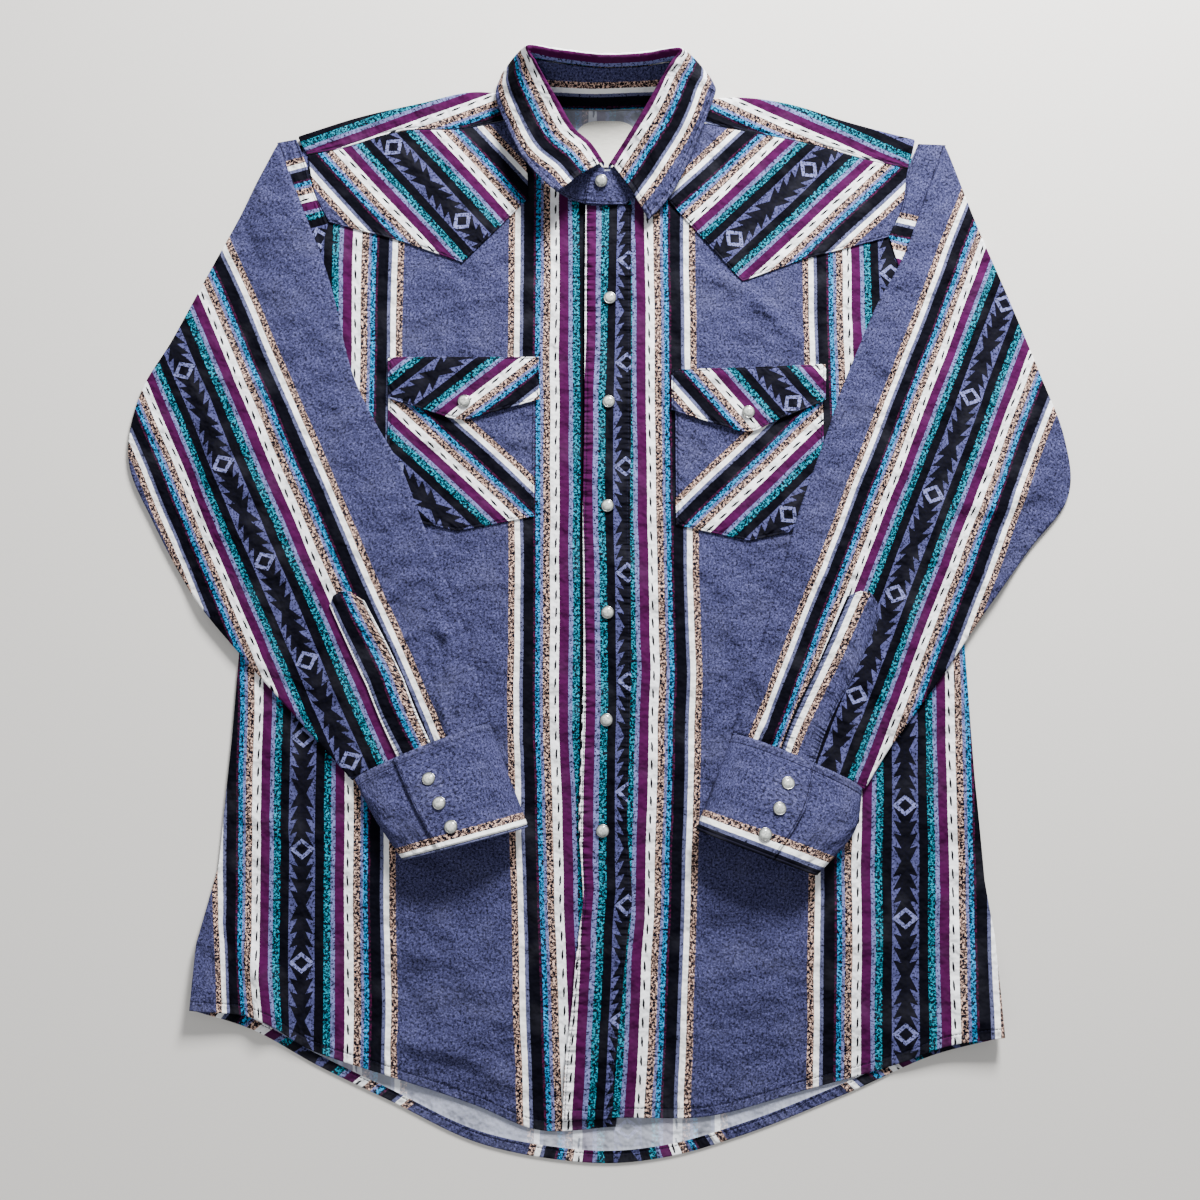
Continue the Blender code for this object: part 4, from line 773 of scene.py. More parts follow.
# ================================================================ Sleeves
# Long one-seam sleeves, folded flat along the seam and opposite it and laid over the fronts. Near the cuff
# the cloth is let in with pleats, and soft wrinkles curve round the elbow and forearm.
# rows: outer edge's x and y, inner edge's x and y, how full the sleeve is between them
SLEEVES = {
    "right": {
        "rows": [
            (-267.5, 372, -230, 273, 1.2), (-284, 338, -221, 247, 1.8), (-304, 297, -214, 222, 2.2),
            (-324, 257, -208, 197, 2.4), (-350, 204, -198, 166, 2.4), (-374.5, 158, -181, 132, 2.4),
            (-381.5, 104, -160, 96, 2.4), (-360, 54, -144, 56, 2.4), (-326, -5, -122, 3, 2.2),
            (-285, -54, -106, -39, 2.0), (-237, -106, -94, -84, 1.8), (-194, -153, -86, -109, 1.8)],
        "turn": 1, "print": ((-338.7, 177.1), (106.9, -236.1), (0.93, 1.07)),
        "creases": [
            ([(-168, -8), (-151, 7), (-130, 5), (-115, -24), (-100, -50), (-88, -102)], 1.6, 6),
            ([(-151, -41), (-136, -30), (-122, -39)], 1.5, 6), ([(-133, -48), (-120, -114)], 1.3, 3.5),
            ([(-303, 278), (-282, 290), (-237, 304)], 1.2, 9), ([(-315, 86), (-293, 94)], 0.9, 6),
            ([(-146, -60), (-118, -108)], 1.0, 4), ([(-220, 150), (-262, 120), (-310, 108)], 0.9, 12),
            ([(-330, 30), (-290, 48), (-250, 40)], 1.0, 10), ([(-160, 60), (-190, 30)], 1.0, 8),
            ([(-270, -60), (-235, -40)], 0.9, 7), ([(-230, -100), (-205, -80)], 1.0, 6),
            ([(-128, -24), (-118, -52), (-121, -88)], 1.4, 5), ([(-104, -66), (-112, -100)], 1.2, 4),
            ([(-345, 190), (-318, 172), (-280, 168)], 0.9, 8), ([(-256, 20), (-215, 32)], 0.9, 8)]},
    "left": {
        "rows": [
            (286.5, 370, 246, 259, 1.2), (299, 336, 229, 235, 1.8), (318, 285, 210, 193, 2.2),
            (338, 233, 196, 160, 2.4), (359, 175, 182, 121, 2.4), (376.5, 122, 168, 84, 2.4),
            (377.5, 74, 156, 50, 2.4), (344, 30, 146, 14, 2.4), (307, -19, 134, -26, 2.2),
            (270, -72, 121, -66, 2.0), (231, -123, 111, -93, 1.8), (207, -160, 104, -117, 1.8)],
        "turn": -1, "print": ((299.2, 154.0), (-97.2, -239.8), (0.925, 0.97)),
        "creases": [
            ([(252, 345), (266, 340)], 1.2, 3), ([(254, 330), (268, 322)], 1.2, 3),
            ([(249, 314), (263, 308)], 1.2, 3), ([(144, 13), (133, -34), (128, -60), (121, -108)], 1.5, 5),
            ([(366, 92), (322, 60), (290, 66)], 1.3, 9), ([(302, 96), (330, 86)], 0.9, 6),
            ([(190, 110), (226, 90), (262, 96)], 0.9, 12), ([(160, 30), (186, 0)], 1.0, 8),
            ([(225, -60), (248, -92)], 1.0, 6), ([(152, -60), (140, -112)], 1.0, 4),
            ([(205, -90), (199, -140)], 1.2, 3.5), ([(235, 250), (280, 262), (318, 250)], 0.9, 10),
            ([(140, -30), (118, -78), (113, -114)], 1.7, 5), ([(127, -62), (128, -112)], 1.5, 4),
            ([(340, 170), (316, 150), (282, 152)], 0.9, 8), ([(300, 10), (262, 22)], 0.9, 8)]}}
SLEEVE_LENGTH, SLEEVE_COLUMNS, FOLD_EDGE_STEPS, CUFF_SEAM_STITCH = 600, 58, 8, 2.0
EDGE_SHARE = 0.06  # share of the sleeve's width at each folded edge over which its creases fade
SLEEVE_CLEARANCE, SLEEVE_ABOVE_FLOOR, SLEEVE_EDGE_GAP = 0.15, 0.03, 1.2
SLEEVE_SEAM_REACH, SEAM_GAP_LEFT = 9, 0.2
BRIDGE, DRAPE = 26, 28
BODY_OUTLINE = (SIDE_RIGHT + ARMHOLE_RIGHT[1:] + SHOULDER_RIGHT[1:] + SHOULDER_LEFT[::-1]
                + ARMHOLE_LEFT[::-1][1:] + SIDE_LEFT[::-1][1:] + BACK_HEM[::-1][1:-1])


def inside_distance(x, y, outline):
    """Signed distance from a closed outline, positive inside: the nearest run's, signed by how often a line
    to one side crosses the outline."""
    nearest = np.full(np.shape(x), np.inf)
    crossings = np.zeros(np.shape(x), int)
    for a, b in zip(outline, outline[1:] + outline[:1]):
        nearest = np.minimum(nearest, distance_to_run(x, y, a, b))
        if a[1] != b[1]:
            crossings += ((a[1] > y) != (b[1] > y)) & (x < (b[0] - a[0]) * (y - a[1]) / (b[1] - a[1]) + a[0])
    return np.where(crossings % 2 == 1, nearest, -nearest)


def under_sleeve(x, y):
    """Lowest surface of a sleeve: over the body, its creases and the pockets, then down to the floor."""
    over_body = smoothstep(inside_distance(x, y, BODY_OUTLINE), -BRIDGE - DRAPE, -BRIDGE)
    height = ((2 * LAYER + SLEEVE_CLEARANCE + unevenness(x, y)) * over_body
              + crease_height(x, y, FOLDS) + crease_height(x, y, CREASES, CREASE_DEPTH, CREASE_WIDTH))
    for pocket in POCKETS.values():
        (left, right), top, corner = pocket["x"], pocket["top"], pocket["corner"]
        away = np.hypot(np.maximum(abs(x - (left + right) / 2) - (right - left) / 2, 0),
                        np.maximum(abs(y - (top + corner) / 2) - (top - corner) / 2, 0))
        height = height + LAYER * smoothstep(-away, -BRIDGE - DRAPE, -BRIDGE)
    return height


def sleeve_rise(sleeve, x, y, across):
    """How far a sleeve's creases lift its top, fading towards the folded edges."""
    fade = smoothstep(np.minimum(across, 1 - across), 0.0, EDGE_SHARE)
    return crease_height(x, y, sleeve["creases"], CREASE_DEPTH, CREASE_WIDTH) * fade


def sleeve_top(sleeve, along, across):
    """A point on top of a sleeve from its shares along it and from the outer to the inner edge."""
    knots = np.linspace(0, 1, 201)
    rows = through(sleeve["rows"], knots, by_length=False)
    o_x, o_y, i_x, i_y, crown = (np.interp(along, knots, column) for column in rows.T)
    x, y = o_x + (i_x - o_x) * across, o_y + (i_y - o_y) * across
    z = (under_sleeve(x, y) + SLEEVE_EDGE_GAP + crown * np.sin(math.pi * across) + 2 * CLOTH
         + sleeve_rise(sleeve, x, y, across))
    return np.dstack([x, y, z])


for side, sleeve in SLEEVES.items():
    along = shares_of(SLEEVE_LENGTH, PANEL_STEP)
    rows = through(sleeve["rows"], along, by_length=False)
    outer, inner, crown = rows[:, None, 0:2], rows[:, None, 2:4], rows[:, 4:5]
    width = np.linalg.norm(inner - outer, axis=2)
    open_up = smoothstep(SLEEVE_LENGTH * along, 0, SLEEVE_SEAM_REACH)[:, None]
    radius = np.maximum(SLEEVE_EDGE_GAP * open_up, SEAM_GAP_LEFT) / 2
    start = (CLOTH + radius) / width
    even = np.linspace(0, 1, SLEEVE_COLUMNS)
    across = start + (1 - 2 * start) * even[None]
    place = outer + (inner - outer) * across[..., None]
    low = under_sleeve(place[..., 0], place[..., 1]) + CLOTH + SLEEVE_ABOVE_FLOOR
    high = (low + 2 * radius + open_up * (crown * np.sin(math.pi * even)
                                          + sleeve_rise(sleeve, place[..., 0], place[..., 1], across)))
    angle = np.linspace(0, math.pi, FOLD_EDGE_STEPS)[1:-1]
    reach = (inner - outer) / width[..., None] * radius[..., None] * np.sin(angle)[None, :, None]
    near = np.dstack([place[:, -1:] + reach, low[:, -1:] + radius * (1 - np.cos(angle))])
    far = np.dstack([place[:, :1] - reach, low[:, :1] + radius * (1 + np.cos(angle))])
    under, over = np.dstack([place, low]), np.dstack([place[:, ::-1], high[:, ::-1]])
    ring = np.concatenate([under, near, over, far], axis=1)
    closed = np.concatenate([ring, ring[:, :1]], axis=1)
    in_print = panel_print(closed, *sleeve["print"])
    seams = stitch_lines(closed, (None, None, None, CUFF_SEAM_STITCH))
    shell = cloth_shell(ring, CLOTH, in_print, seams, turn=sleeve["turn"], closed=True)
    piece = make_piece(f"long_sleeve_{side}", [shell], [face_side, wrong_side], f"sleeve_{side}")

# ================================================================ Sleeve plackets
# A pointed strip over the slit above each cuff, cut along the stripes, turned under and topstitched.
# top: shares along the sleeve from the strip's outer to its inner edge; outer and inner: shares across it
TOWERS = {"right": {"top": (0.756, 0.741, 0.735, 0.736, 0.751), "outer": (0.505, 0.45, 0.345),
                    "inner": (0.65, 0.643, 0.585), "print": (65, 38.5)},
          "left": {"top": (0.734, 0.708, 0.692, 0.688, 0.695), "outer": (0.487, 0.453, 0.395),
                   "inner": (0.683, 0.678, 0.652), "print": (86, 59)}}
TOWER_LENGTH, TOWER_WIDTH, TOWER_END, TOWER_CLEARANCE = 150, 26, 0.998, 0.4

for side, shape in TOWERS.items():
    share, t = shares_of(TOWER_LENGTH, 2.2), shares_of(TOWER_WIDTH, 1.6)
    outer, inner = (np.interp(share, (0, 0.5, 1), shape[edge])[:, None] for edge in ("outer", "inner"))
    across = outer + (inner - outer) * t[None]
    top = np.interp(t, np.linspace(0, 1, len(shape["top"])), shape["top"])[None]
    along = top + (TOWER_END - top) * share[:, None]
    tower = sleeve_top(SLEEVES[side], along, across)
    tower[..., 2] += TOWER_CLEARANCE
    first, last = shape["print"]
    in_print = np.dstack([first + (last - first) * t[None] + 0 * share[:, None],
                          TOWER_LENGTH * share[:, None] + 0 * t[None]])
    piece = sew(f"tower_{side}", f"sleeve_placket_{side}", tower, in_print,
                (EDGE_STITCH, EDGE_STITCH, EDGE_STITCH, None), -SLEEVES[side]["turn"])

# ================================================================ Cuffs
# Stiff cuffs of two layers over interlining, cut across the print so that its edge runs round the mouth. Each
# is a strip rolled round the wrist, its snapped end lapping over the other, and it still stands open.
# rows: outer edge's x and y, inner edge's x and y, height
CUFFS = {"right": {"rows": [(-194, -153, -86, -109, 8.0), (-176, -184, -70, -150, 19.0),
                            (-154, -214, -55, -188, 26.0)], "turn": -1, "mouth_print": 61.5},
         "left": {"rows": [(207, -160, 104, -117, 8.0), (199, -193, 88, -155, 19.0),
                           (169, -226, 74, -190, 26.0)], "turn": 1, "mouth_print": 56.0}}
CUFF_WALL, CUFF_FLAT_SHARE, CUFF_CLEARANCE, CUFF_BUTT, CUFF_PITCH = 1.8, 0.35, 0.05, 0.5, 2.5
CUFF_LAP = {"right": (0.70, 0.34), "left": (0.70, 0.41)}
CUFF_DEPTH, CUFF_ROUND, CUFF_STEP, CUFF_GAP, CUFF_SEAM_BOW = 76, 290, 2.2, 0.1, 4.5
SQUARE_BELOW, SQUARE_ABOVE = 5.0, 2.3
CUFF_STITCHES = (1.8, 1.8, 6.5, 1.8)


def cuff_surface(rows, along, angle, inset):
    """Outer surface of a cuff: a squarish oval, flatter below, whose angle runs from the inner side over the
    top."""
    knots = np.linspace(0, 1, 101)
    columns = through(rows, knots, by_length=False).T
    o_x, o_y, i_x, i_y, height = (np.interp(along, knots, column) for column in columns)
    half_x, half_y = (i_x - o_x) / 2, (i_y - o_y) / 2
    width = np.hypot(half_x, half_y)
    low, high = height * CUFF_FLAT_SHARE, height * (1 - CUFF_FLAT_SHARE)
    cosine, sine = np.cos(angle), np.sin(angle)
    power = np.where(sine < 0, 2 / SQUARE_BELOW, 2 / SQUARE_ABOVE)
    out = np.sign(cosine) * np.abs(cosine)**power * (width - inset) / width
    rise = np.sign(sine) * np.abs(sine)**power * np.where(sine < 0, low, high - inset)
    x, y = (o_x + i_x) / 2 + half_x * out, (o_y + i_y) / 2 + half_y * out
    return np.stack([x, y, 2 * LAYER + CUFF_CLEARANCE + low + rise + 0 * out], axis=-1)


def cuff_angles(side):
    """Angles of the end that lies under and of the end that laps over it, on the strip's second pass."""
    under, over = CUFF_LAP[side]
    return math.acos(2 * under - 1), math.acos(2 * over - 1) + 2 * math.pi


def cuff_inset(side, angle):
    """The rolled strip lies inside the cuff's outline by the pitch for each turn that is left."""
    return CUFF_PITCH * (cuff_angles(side)[1] - angle) / (2 * math.pi)


for side, cuff in CUFFS.items():
    along, t = shares_of(70, CUFF_STEP)[:, None], shares_of(300, CUFF_STEP)[None]
    first, last = cuff_angles(side)
    angle = first + (last - first) * t
    inset = cuff_inset(side, angle) + 0 * along
    strip = cuff_surface(cuff["rows"], along + 0 * t, angle + 0 * along, inset)
    rows = np.array(cuff["rows"], float)
    axis = (rows[-1, 0:2] + rows[-1, 2:4] - rows[0, 0:2] - rows[0, 2:4]) / 2
    bow = CUFF_SEAM_BOW * np.maximum(np.sin(angle), 0) * (1 - along)
    strip[..., :2] += axis / np.linalg.norm(axis) * (CUFF_BUTT - bow)[..., None]
    strip[..., 2] += unevenness(*strip[..., :2].mean(axis=(0, 1))) + CUFF_GAP
    in_print = np.dstack([cuff["mouth_print"] + CUFF_DEPTH * (1 - along) + 0 * t, 0 * along + CUFF_ROUND * t])
    shell = cloth_shell(strip, CUFF_WALL, in_print, stitch_lines(strip, CUFF_STITCHES), turn=cuff["turn"])
    piece = make_piece(f"wrist_cuff_{side}", [shell], [face_side, face_side], f"cuff_{side}")

# ================================================================ Collar stand
# A stiff band round the neck. Its outside is plain ground; inside, the edge of the print runs round above the
# seam. Its left end laps over the right one under the top snap.
# from the right end to the left: x, y and z of the stand's foot, of the fold and of the leaf's edge
COLLAR = [(-8, 317, 6.9, 3, 349, 17, -34, 318, 30), (-27, 324, 5.8, -8, 363, 23, -47, 330, 28),
          (-43, 337, 5.3, -22, 374, 28, -63, 351, 24), (-58, 356, 5.4, -35, 395, 33, -76, 379, 18),
          (-71, 390, 6.5, -48, 417, 37, -86, 407, 12), (-66, 399, 5.0, -53.5, 427, 39.4, -84, 424, 9),
          (-57, 404, 3.0, -58, 437, 41, -75, 437.5, 4), (-34, 404, 2.3, -32, 433, 42, -35, 439.6, 1.6),
          (2, 403, 2.3, 0, 429, 42, 2, 439.2, 1.6), (38, 404, 2.3, 32, 430, 42, 40, 439.6, 1.6),
          (58, 403, 3.0, 64, 435, 40.5, 82, 437, 4), (64, 397, 5.0, 59, 426, 38.5, 95, 420, 10.5),
          (77, 391, 6.6, 51, 414, 35, 94, 407, 11), (62, 364, 5.5, 39, 394, 29, 79, 368, 11),
          (52, 344, 5.4, 28, 377, 24, 67, 340, 10.5), (38, 329, 6.0, 17, 361, 19, 55, 320, 10),
          (20, 318, 7.0, 8, 348, 16, 40, 303, 9.5)]
COLLAR_WALL, SEAM_GAP, COLLAR_ROLL, ROLL_AT_ENDS, ROLL_GROWS_OVER = 1.4, 1.3, 7, 0.5, 5 / 32
COLLAR_FOLD_RADIUS, COLLAR_FOLD_STEPS, LEAF_BULGE, ROLL_SHARES = 2.4, 12, 1.6, (1, 0.9, 0.7, 0.35)
# the stand's ends beyond the leaf: x, y and z of the foot and of the top
STAND_UNDER = [(-4, 317, 6.8, 4, 343, 12.0), (22, 318, 6.8, 16, 343, 11.4)]
STAND_OVER = [(2, 317, 8.9, 0, 343, 14.2), (-14, 318, 9.0, -9, 343, 14.8)]
STAND_PRINT_FOOT, STAND_PRINT_WIDTH, STAND_PLAIN_FOOT, STAND_INSIDE_KIND = 50, 0.9, 80, 1
STAND_STITCHES = (1.6, None, 1.8, 1.8)


def unit(vectors):
    return vectors / np.linalg.norm(vectors, axis=1, keepdims=True)


def collar_lines(shares, leaf_shares):
    """Round the neck: foot and top of the stand, and the leaf's points. The fold is an arc whose tangents are
    the line down to the foot and the line out to the leaf's edge, which arches a little."""
    rows = through(COLLAR, shares, by_length=False)
    foot, fold, edge = rows[:, 0:3], rows[:, 3:6], rows[:, 6:9]
    down = unit(unit(foot - fold) + unit(edge - fold))
    centre = fold + down * COLLAR_FOLD_RADIUS
    out = unit((edge - centre) - np.sum((edge - centre) * down, axis=1, keepdims=True) * down)
    angles = []
    for end, way in ((foot, -1), (edge, 1)):
        along, over = np.sum((end - centre) * down, axis=1), np.sum((end - centre) * out, axis=1)
        angles.append(np.arctan2(over, along) + way * np.arccos(COLLAR_FOLD_RADIUS / np.hypot(along, over)))
    swing = angles[1] - 2 * math.pi - angles[0]
    arc = [centre + COLLAR_FOLD_RADIUS * (np.cos(a)[:, None] * down + np.sin(a)[:, None] * out)
           for a in (angles[0] + swing * share for share in np.linspace(0, 1, COLLAR_FOLD_STEPS))]
    line = unit(foot - arc[0])
    from_end = np.minimum(shares, 1 - shares)[:, None]
    roll = ROLL_AT_ENDS + (COLLAR_ROLL - ROLL_AT_ENDS) * smoothstep(from_end, 0, ROLL_GROWS_OVER)
    away = -unit(np.cross(np.cross(edge - fold, foot - fold), edge - fold))
    inside = [arc[0] + line * roll * share for share in ROLL_SHARES]
    outside = [arc[-1] + (edge - arc[-1]) * share + away * LEAF_BULGE * math.sin(math.pi * share)
               for share in leaf_shares]
    return foot, arc[0] + line * (roll + SEAM_GAP), np.stack(inside + arc + outside, axis=1)


stations = shares_of(420, 2.6)
foot, top, _ = collar_lines(stations, [1.0])
steps = np.linspace(0, 1, 7)[:, None]
under, over = np.array(STAND_UNDER, float), np.array(STAND_OVER, float)
laps = [under[1] + (under[0] - under[1]) * steps, over[0] + (over[1] - over[0]) * steps]
foot = np.concatenate([laps[0][:, 0:3], foot, laps[1][:, 0:3]])
top = np.concatenate([laps[0][:, 3:6], top, laps[1][:, 3:6]])
height = shares_of(36, 2.4)
band = foot[:, None] + (top - foot)[:, None] * height[None, :, None]
band = band - normals_of(band) * COLLAR_WALL / 2
around = edge_distances(band)
round_neck = around[2][:, len(height) // 2, None] + 0 * around[0]
inside_print = np.dstack([STAND_PRINT_FOOT + around[0] * STAND_PRINT_WIDTH, round_neck])
plain_print = np.dstack([STAND_PLAIN_FOOT + around[0], round_neck])
seams = stitch_lines(band, STAND_STITCHES)
shell = cloth_shell(band, COLLAR_WALL, plain_print, seams)
printed = cloth_shell(band, COLLAR_WALL, inside_print, seams)
looks_inwards = shell[4] == STAND_INSIDE_KIND
shell[2][looks_inwards] = printed[2][looks_inwards]
stand = make_piece("neck_band", [shell], [face_side, face_side], "collar_stand")

# ================================================================ Collar leaf
# The turned-down leaf, stripes along its fold, plain at the points. It rolls over the stand's top seam and
# stands off the shoulders in front, and at the back it falls straight down behind the stand.
# share of the way round the neck, place in the print at the fold
FOLD_PRINT = [(0, 27), (0.18, 27.5), (0.34, 30.5), (0.42, 33), (0.58, 33), (0.66, 30.5), (0.82, 27.5),
              (1, 27)]
LEAF_STITCH = 4.0

leaf_edge = shares_of(40, 2.6)[1:]
_, _, leaf = collar_lines(stations, leaf_edge)
leaf = leaf - normals_of(leaf) * COLLAR_WALL / 2
from_roll, _, from_front, _ = edge_distances(leaf)
middle = len(ROLL_SHARES) + COLLAR_FOLD_STEPS // 2 - 1
at_fold = np.interp(stations, *np.array(FOLD_PRINT).T)[:, None]
in_print = np.dstack([at_fold + from_roll - from_roll[:, middle:middle + 1],
                      from_front[:, middle:middle + 1] + 0 * from_roll])
shell = cloth_shell(leaf, COLLAR_WALL, in_print, stitch_lines(leaf, (None, *[LEAF_STITCH] * 3)))
collar = make_piece("collar_fall", [shell], [face_side, face_side], "collar_leaf")

# ================================================================ Neck label
# A satin-woven label with an arched top, sewn inside the back of the neck. It is left bare.
LABEL = {"x": (-21, 32), "y": (352, 393), "arch": 12, "wall": 1.0, "stitch": 1.8}
TAPE, TAPE_SHADE, TAPE_THREAD = (232, 230, 220), (212, 209, 198), (190, 186, 172)


def label_tape():
    """Cream tape: fine ribs across, a soft sheen and a row of stitches near its edge."""
    finish = Finish("label_tape", roughness=0.55, sheen=0.2)
    u, v = finish.uv("cloth")
    side, end = finish.uv("seam")
    thread = ((abs(side) < 0.3) * ((v * 0.45).fraction() < 0.7)
              + (abs(end) < 0.3) * ((u * 0.45).fraction() < 0.7)).clamped()
    shade = finish.noise(u * 0.15, v * 0.4, 2.0)
    colour = finish.mix(dye(*TAPE), dye(*TAPE_SHADE), shade)
    finish.feed("Base Color", finish.mix(colour, dye(*TAPE_THREAD), thread * 0.6))
    rib = v * 9.0
    finish.bump(rib.math("SINE", rib) * 0.03 + shade * 0.2 - (1 - abs(end)).clamped() * 0.1)
    return finish.material


tape = label_tape()
(x0, x1), (y0, y1) = LABEL["x"], LABEL["y"]
across, along = shares_of(x1 - x0, 2.0), shares_of(y1 - y0, 2.0)
lower = np.stack([x0 + (x1 - x0) * across, y0 + 0 * across], axis=1)
upper = np.stack([lower[:, 0], y1 - LABEL["arch"] * (2 * across - 1)**4], axis=1)
flat = patch(lower, upper, *straight_sides(lower, upper, along), across, along)
label = stand_on(flat, lambda x, y: LAYER + 0 * x)
shell = cloth_shell(label, LABEL["wall"], label[..., :2], stitch_lines(label, [LABEL["stitch"]] * 4))
label_piece = make_piece("bare_label", [shell], [tape, tape], "neck_label")

# ================================================================ Snaps
# Fifteen snaps: a domed pearl cap pressed into a thin rolled metal ring. The prongs behind it grip the cloth.
# profiles: radius and height, from the middle of the cap to the middle of the ring's underside
SNAP_CAP = [(0.0, 2.9), (1.2, 2.84), (2.3, 2.62), (3.2, 2.26), (3.9, 1.80), (4.35, 1.35)]
SNAP_RING = [(4.35, 1.35), (4.55, 1.52), (4.85, 1.52), (5.12, 1.25), (5.2, 0.85), (5.2, 0.4), (5.0, 0.05),
             (0.0, 0.0)]
SNAP_COLUMNS, POLE_RADIUS = 40, 0.02
NECK_SNAP = ((1, 335, 13.6), (0.0, -0.2, 1.0))
FRONT_SNAPS = [(8, 238), (7, 151), (6, 65), (6, -21), (5, -106), (2, -192)]
FLAP_SNAPS = {"right": (-110, 151), "left": (120, 142)}
# the share across the cuff, and the shares along it
CUFF_SNAPS = {"right": (0.49, (0.28, 0.54, 0.80)), "left": (0.53, (0.26, 0.53, 0.81))}
SNAP_GAP, CUFF_PROBE = 0.3, 0.05
PEARL, PEARL_CLOUD, PEARL_RIM_SHADE = (214, 216, 210), (140, 146, 142), (120, 124, 120)
NICKEL, NICKEL_WORN = (188, 188, 184), (120, 120, 118)


def pearl():
    """Grey-white pearl: milky clouds, with painted shade that darkens it towards the rim, under a hard clear
    coat.
    """
    finish = Finish("pearl_cap", roughness=0.22, coat=1.0)
    finish.shader.inputs["Coat Roughness"].default_value = 0.04
    place = finish.node("ShaderNodeTexCoord", output=3)
    cloud = finish.node("ShaderNodeTexNoise", {},
                        {"Vector": place, "Scale": 420.0, "Detail": 3.0, "Distortion": 1.2})
    _, radius = finish.uv("cloth")
    colour = finish.mix(dye(*PEARL), dye(*PEARL_CLOUD), ((cloud - 0.38) * 3.5).clamped())
    # painted shade: the cap's colour is darkened towards its rim, where the dome turns away from the light
    finish.feed("Base Color", finish.mix(colour, dye(*PEARL_RIM_SHADE), ((radius - 2.6) * 0.5).clamped()))
    finish.feed("Roughness", cloud * 0.2 + 0.1)
    return finish.material


def ring_metal():
    """Nickel-plated rim with fine wear."""
    finish = Finish("snap_ring", roughness=0.3, metallic=1.0)
    place = finish.node("ShaderNodeTexCoord", output=3)
    wear = finish.node("ShaderNodeTexNoise", {}, {"Vector": place, "Scale": 900.0, "Detail": 2.0})
    finish.feed("Base Color", finish.mix(dye(*NICKEL), dye(*NICKEL_WORN), wear))
    finish.feed("Roughness", wear * 0.3 + 0.15)
    return finish.material


def snap_shell(at, axis):
    """The profile turned round its axis: radius and height against the angle, stood on a place and a
    direction."""
    axis = np.array(axis, float) / np.linalg.norm(axis)
    sideways = np.cross(axis, (0.0, 1.0, 0.0))
    sideways /= np.linalg.norm(sideways)
    other = np.cross(axis, sideways)
    profile = np.array(SNAP_CAP + SNAP_RING[1:])
    radius, height = np.maximum(profile[:, 0:1], POLE_RADIUS), profile[:, 1:2] + SNAP_GAP
    angle = np.linspace(0, 2 * math.pi, SNAP_COLUMNS, endpoint=False)[None]
    ring = (np.array(at, float) + (radius * np.cos(angle))[..., None] * sideways
            + (radius * np.sin(angle))[..., None] * other + (height + 0 * angle)[..., None] * axis)
    rows = len(profile)
    index = np.arange(rows)[:, None] * SNAP_COLUMNS + (np.arange(SNAP_COLUMNS + 1) % SNAP_COLUMNS)[None]
    quads = np.stack([index[:-1, :-1], index[1:, :-1], index[1:, 1:], index[:-1, 1:]], axis=-1)
    quads = quads.reshape(-1, 4)
    kinds = np.repeat(np.arange(rows - 1) >= len(SNAP_CAP) - 1, SNAP_COLUMNS).astype(int)
    place = np.dstack([angle + 0 * radius, radius + 0 * angle]).reshape(-1, 2)[quads]
    ring[[0, -1]] = ring[[0, -1]].mean(axis=1, keepdims=True)
    return ring.reshape(-1, 3), quads, place, place, kinds


def place_snap(node, at, axis=(0, 0, 1)):
    make_piece(f"pearl_{node}", [snap_shell(at, axis)], [pearl_cap, snap_ring], node)


pearl_cap, snap_ring = pearl(), ring_metal()
place_snap("snap_neck", *NECK_SNAP)
for number, (x, y) in enumerate(FRONT_SNAPS, 1):
    top = float(on_front("left", np.array(x), np.array(y), 2))
    place_snap(f"snap_front_{number}", (x, y, top - SNAP_GAP))
for side, (x, y) in FLAP_SNAPS.items():
    place_snap(f"snap_pocket_{side}", (x, y, float(flap_height(side, np.array(x), np.array(y))) + CLOTH))
for side, (across, along) in CUFF_SNAPS.items():
    angle = math.acos(2 * across - 1)
    inset = np.array(cuff_inset(side, angle + 2 * math.pi))
    for number, share in enumerate(along, 1):
        at = [cuff_surface(CUFFS[side]["rows"], np.array(a), np.array(b), inset)
              for a, b in ((share, angle), (share + CUFF_PROBE, angle), (share, angle + CUFF_PROBE))]
        axis = np.cross(at[1] - at[0], at[2] - at[0])
        lift = unevenness(at[0][0], at[0][1]) + CUFF_GAP
        place_snap(f"snap_cuff_{side}_{number}", at[0] + (0, 0, lift), axis * np.sign(axis[2]))

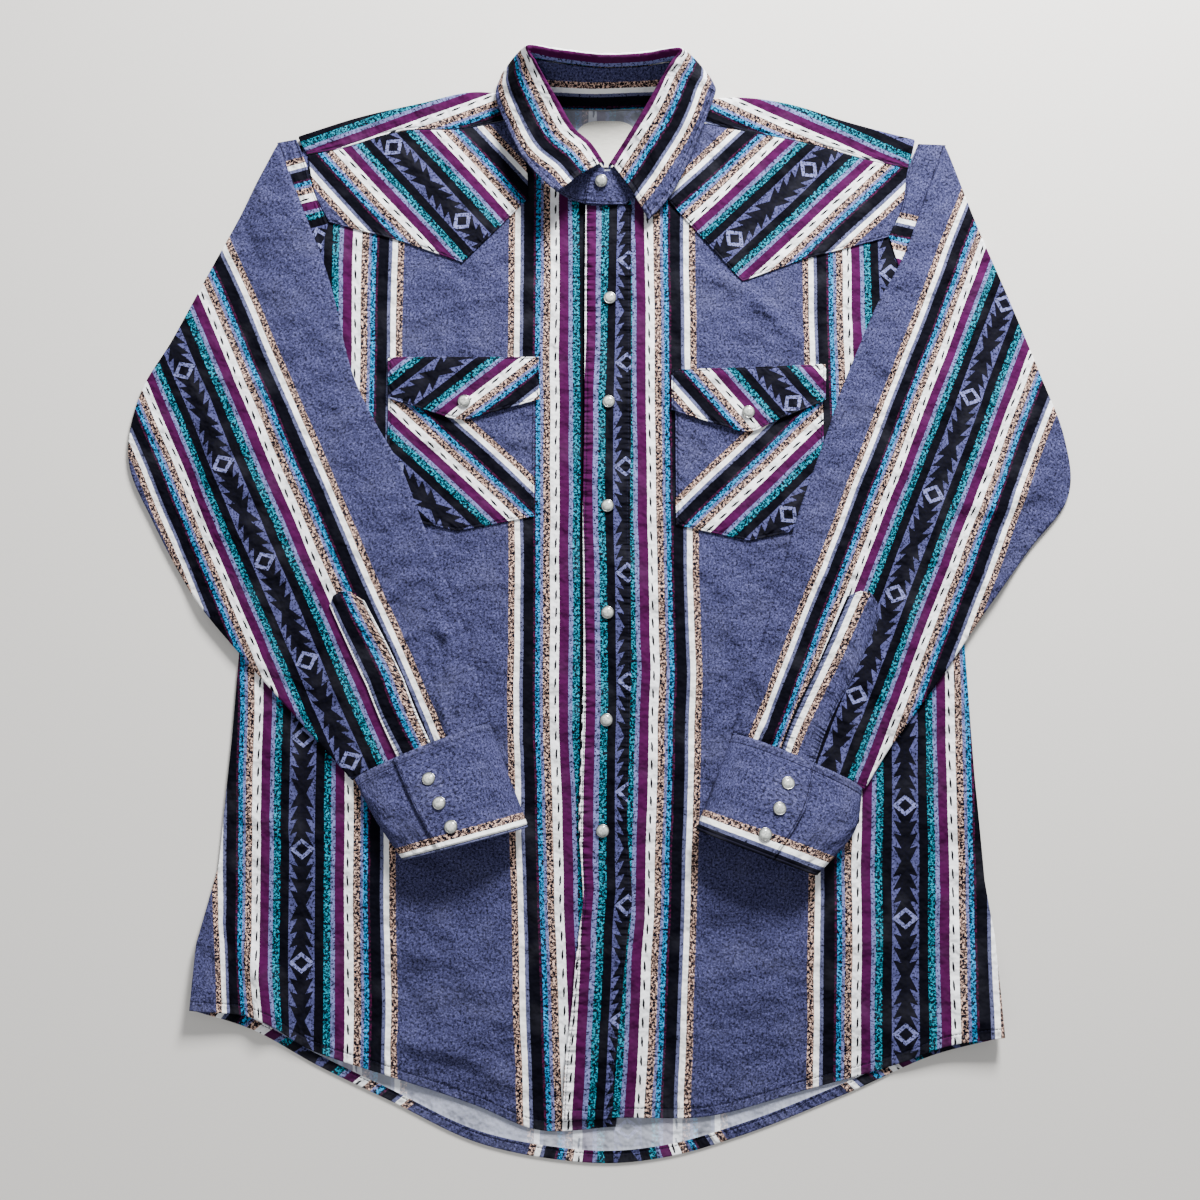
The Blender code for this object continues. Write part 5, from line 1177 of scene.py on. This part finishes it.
# ================================================================ Camera, light and floor
# The shirt lies on a plain pale floor under two large soft lights, and the camera looks down on it.
FLOOR_SIZE, FLOOR_BELOW, FLOOR_COLOUR = 4.0, 0.0004, (214, 211, 206)
CAMERA_AT, CAMERA_TILT, LENS, SENSOR = (0.0, -0.137, 1.0322), 7.0, 39.0, 36.0
STUDIO_COLOUR, STUDIO_STRENGTH = (238, 240, 244), 0.45

camera = bpy.data.objects.new("camera", bpy.data.cameras.new("camera"))
camera.location = CAMERA_AT
camera.rotation_euler = (math.radians(CAMERA_TILT), 0.0, 0.0)
camera.data.lens = LENS
camera.data.sensor_width = SENSOR
bpy.context.scene.collection.objects.link(camera)
bpy.context.scene.camera = camera

floor_mesh = bpy.data.meshes.new("floor")
half = FLOOR_SIZE / 2
corners = [(x * half, y * half, -FLOOR_BELOW) for x, y in ((-1, -1), (1, -1), (1, 1), (-1, 1))]
floor_mesh.from_pydata(corners, [], [(0, 1, 2, 3)])
floor = bpy.data.objects.new("floor", floor_mesh)
bpy.context.scene.collection.objects.link(floor)
floor_finish = Finish("floor", roughness=0.9)
floor_finish.shader.inputs["Base Color"].default_value = dye(*FLOOR_COLOUR)
floor_mesh.materials.append(floor_finish.material)
floor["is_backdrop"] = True


def soft_light(name, at, size, power):
    """A square area light that looks at the middle of the shirt."""
    light = bpy.data.objects.new(name, bpy.data.lights.new(name, "AREA"))
    light.data.size, light.data.energy = size, power
    light.location = at
    light.rotation_euler = (math.atan2(math.hypot(at[0], at[1]), at[2]), 0.0, math.atan2(at[0], -at[1]))
    bpy.context.scene.collection.objects.link(light)


soft_light("key", (0.5, 1.45, 0.85), size=0.45, power=120)
soft_light("fill", (-0.9, -1.2, 1.6), size=1.6, power=11)
world = bpy.data.worlds.new("studio")
world.use_nodes = True
world.node_tree.nodes["Background"].inputs[0].default_value = dye(*STUDIO_COLOUR)
world.node_tree.nodes["Background"].inputs[1].default_value = STUDIO_STRENGTH
bpy.context.scene.world = world

corners = {"solids": solid_box, "visual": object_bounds()}
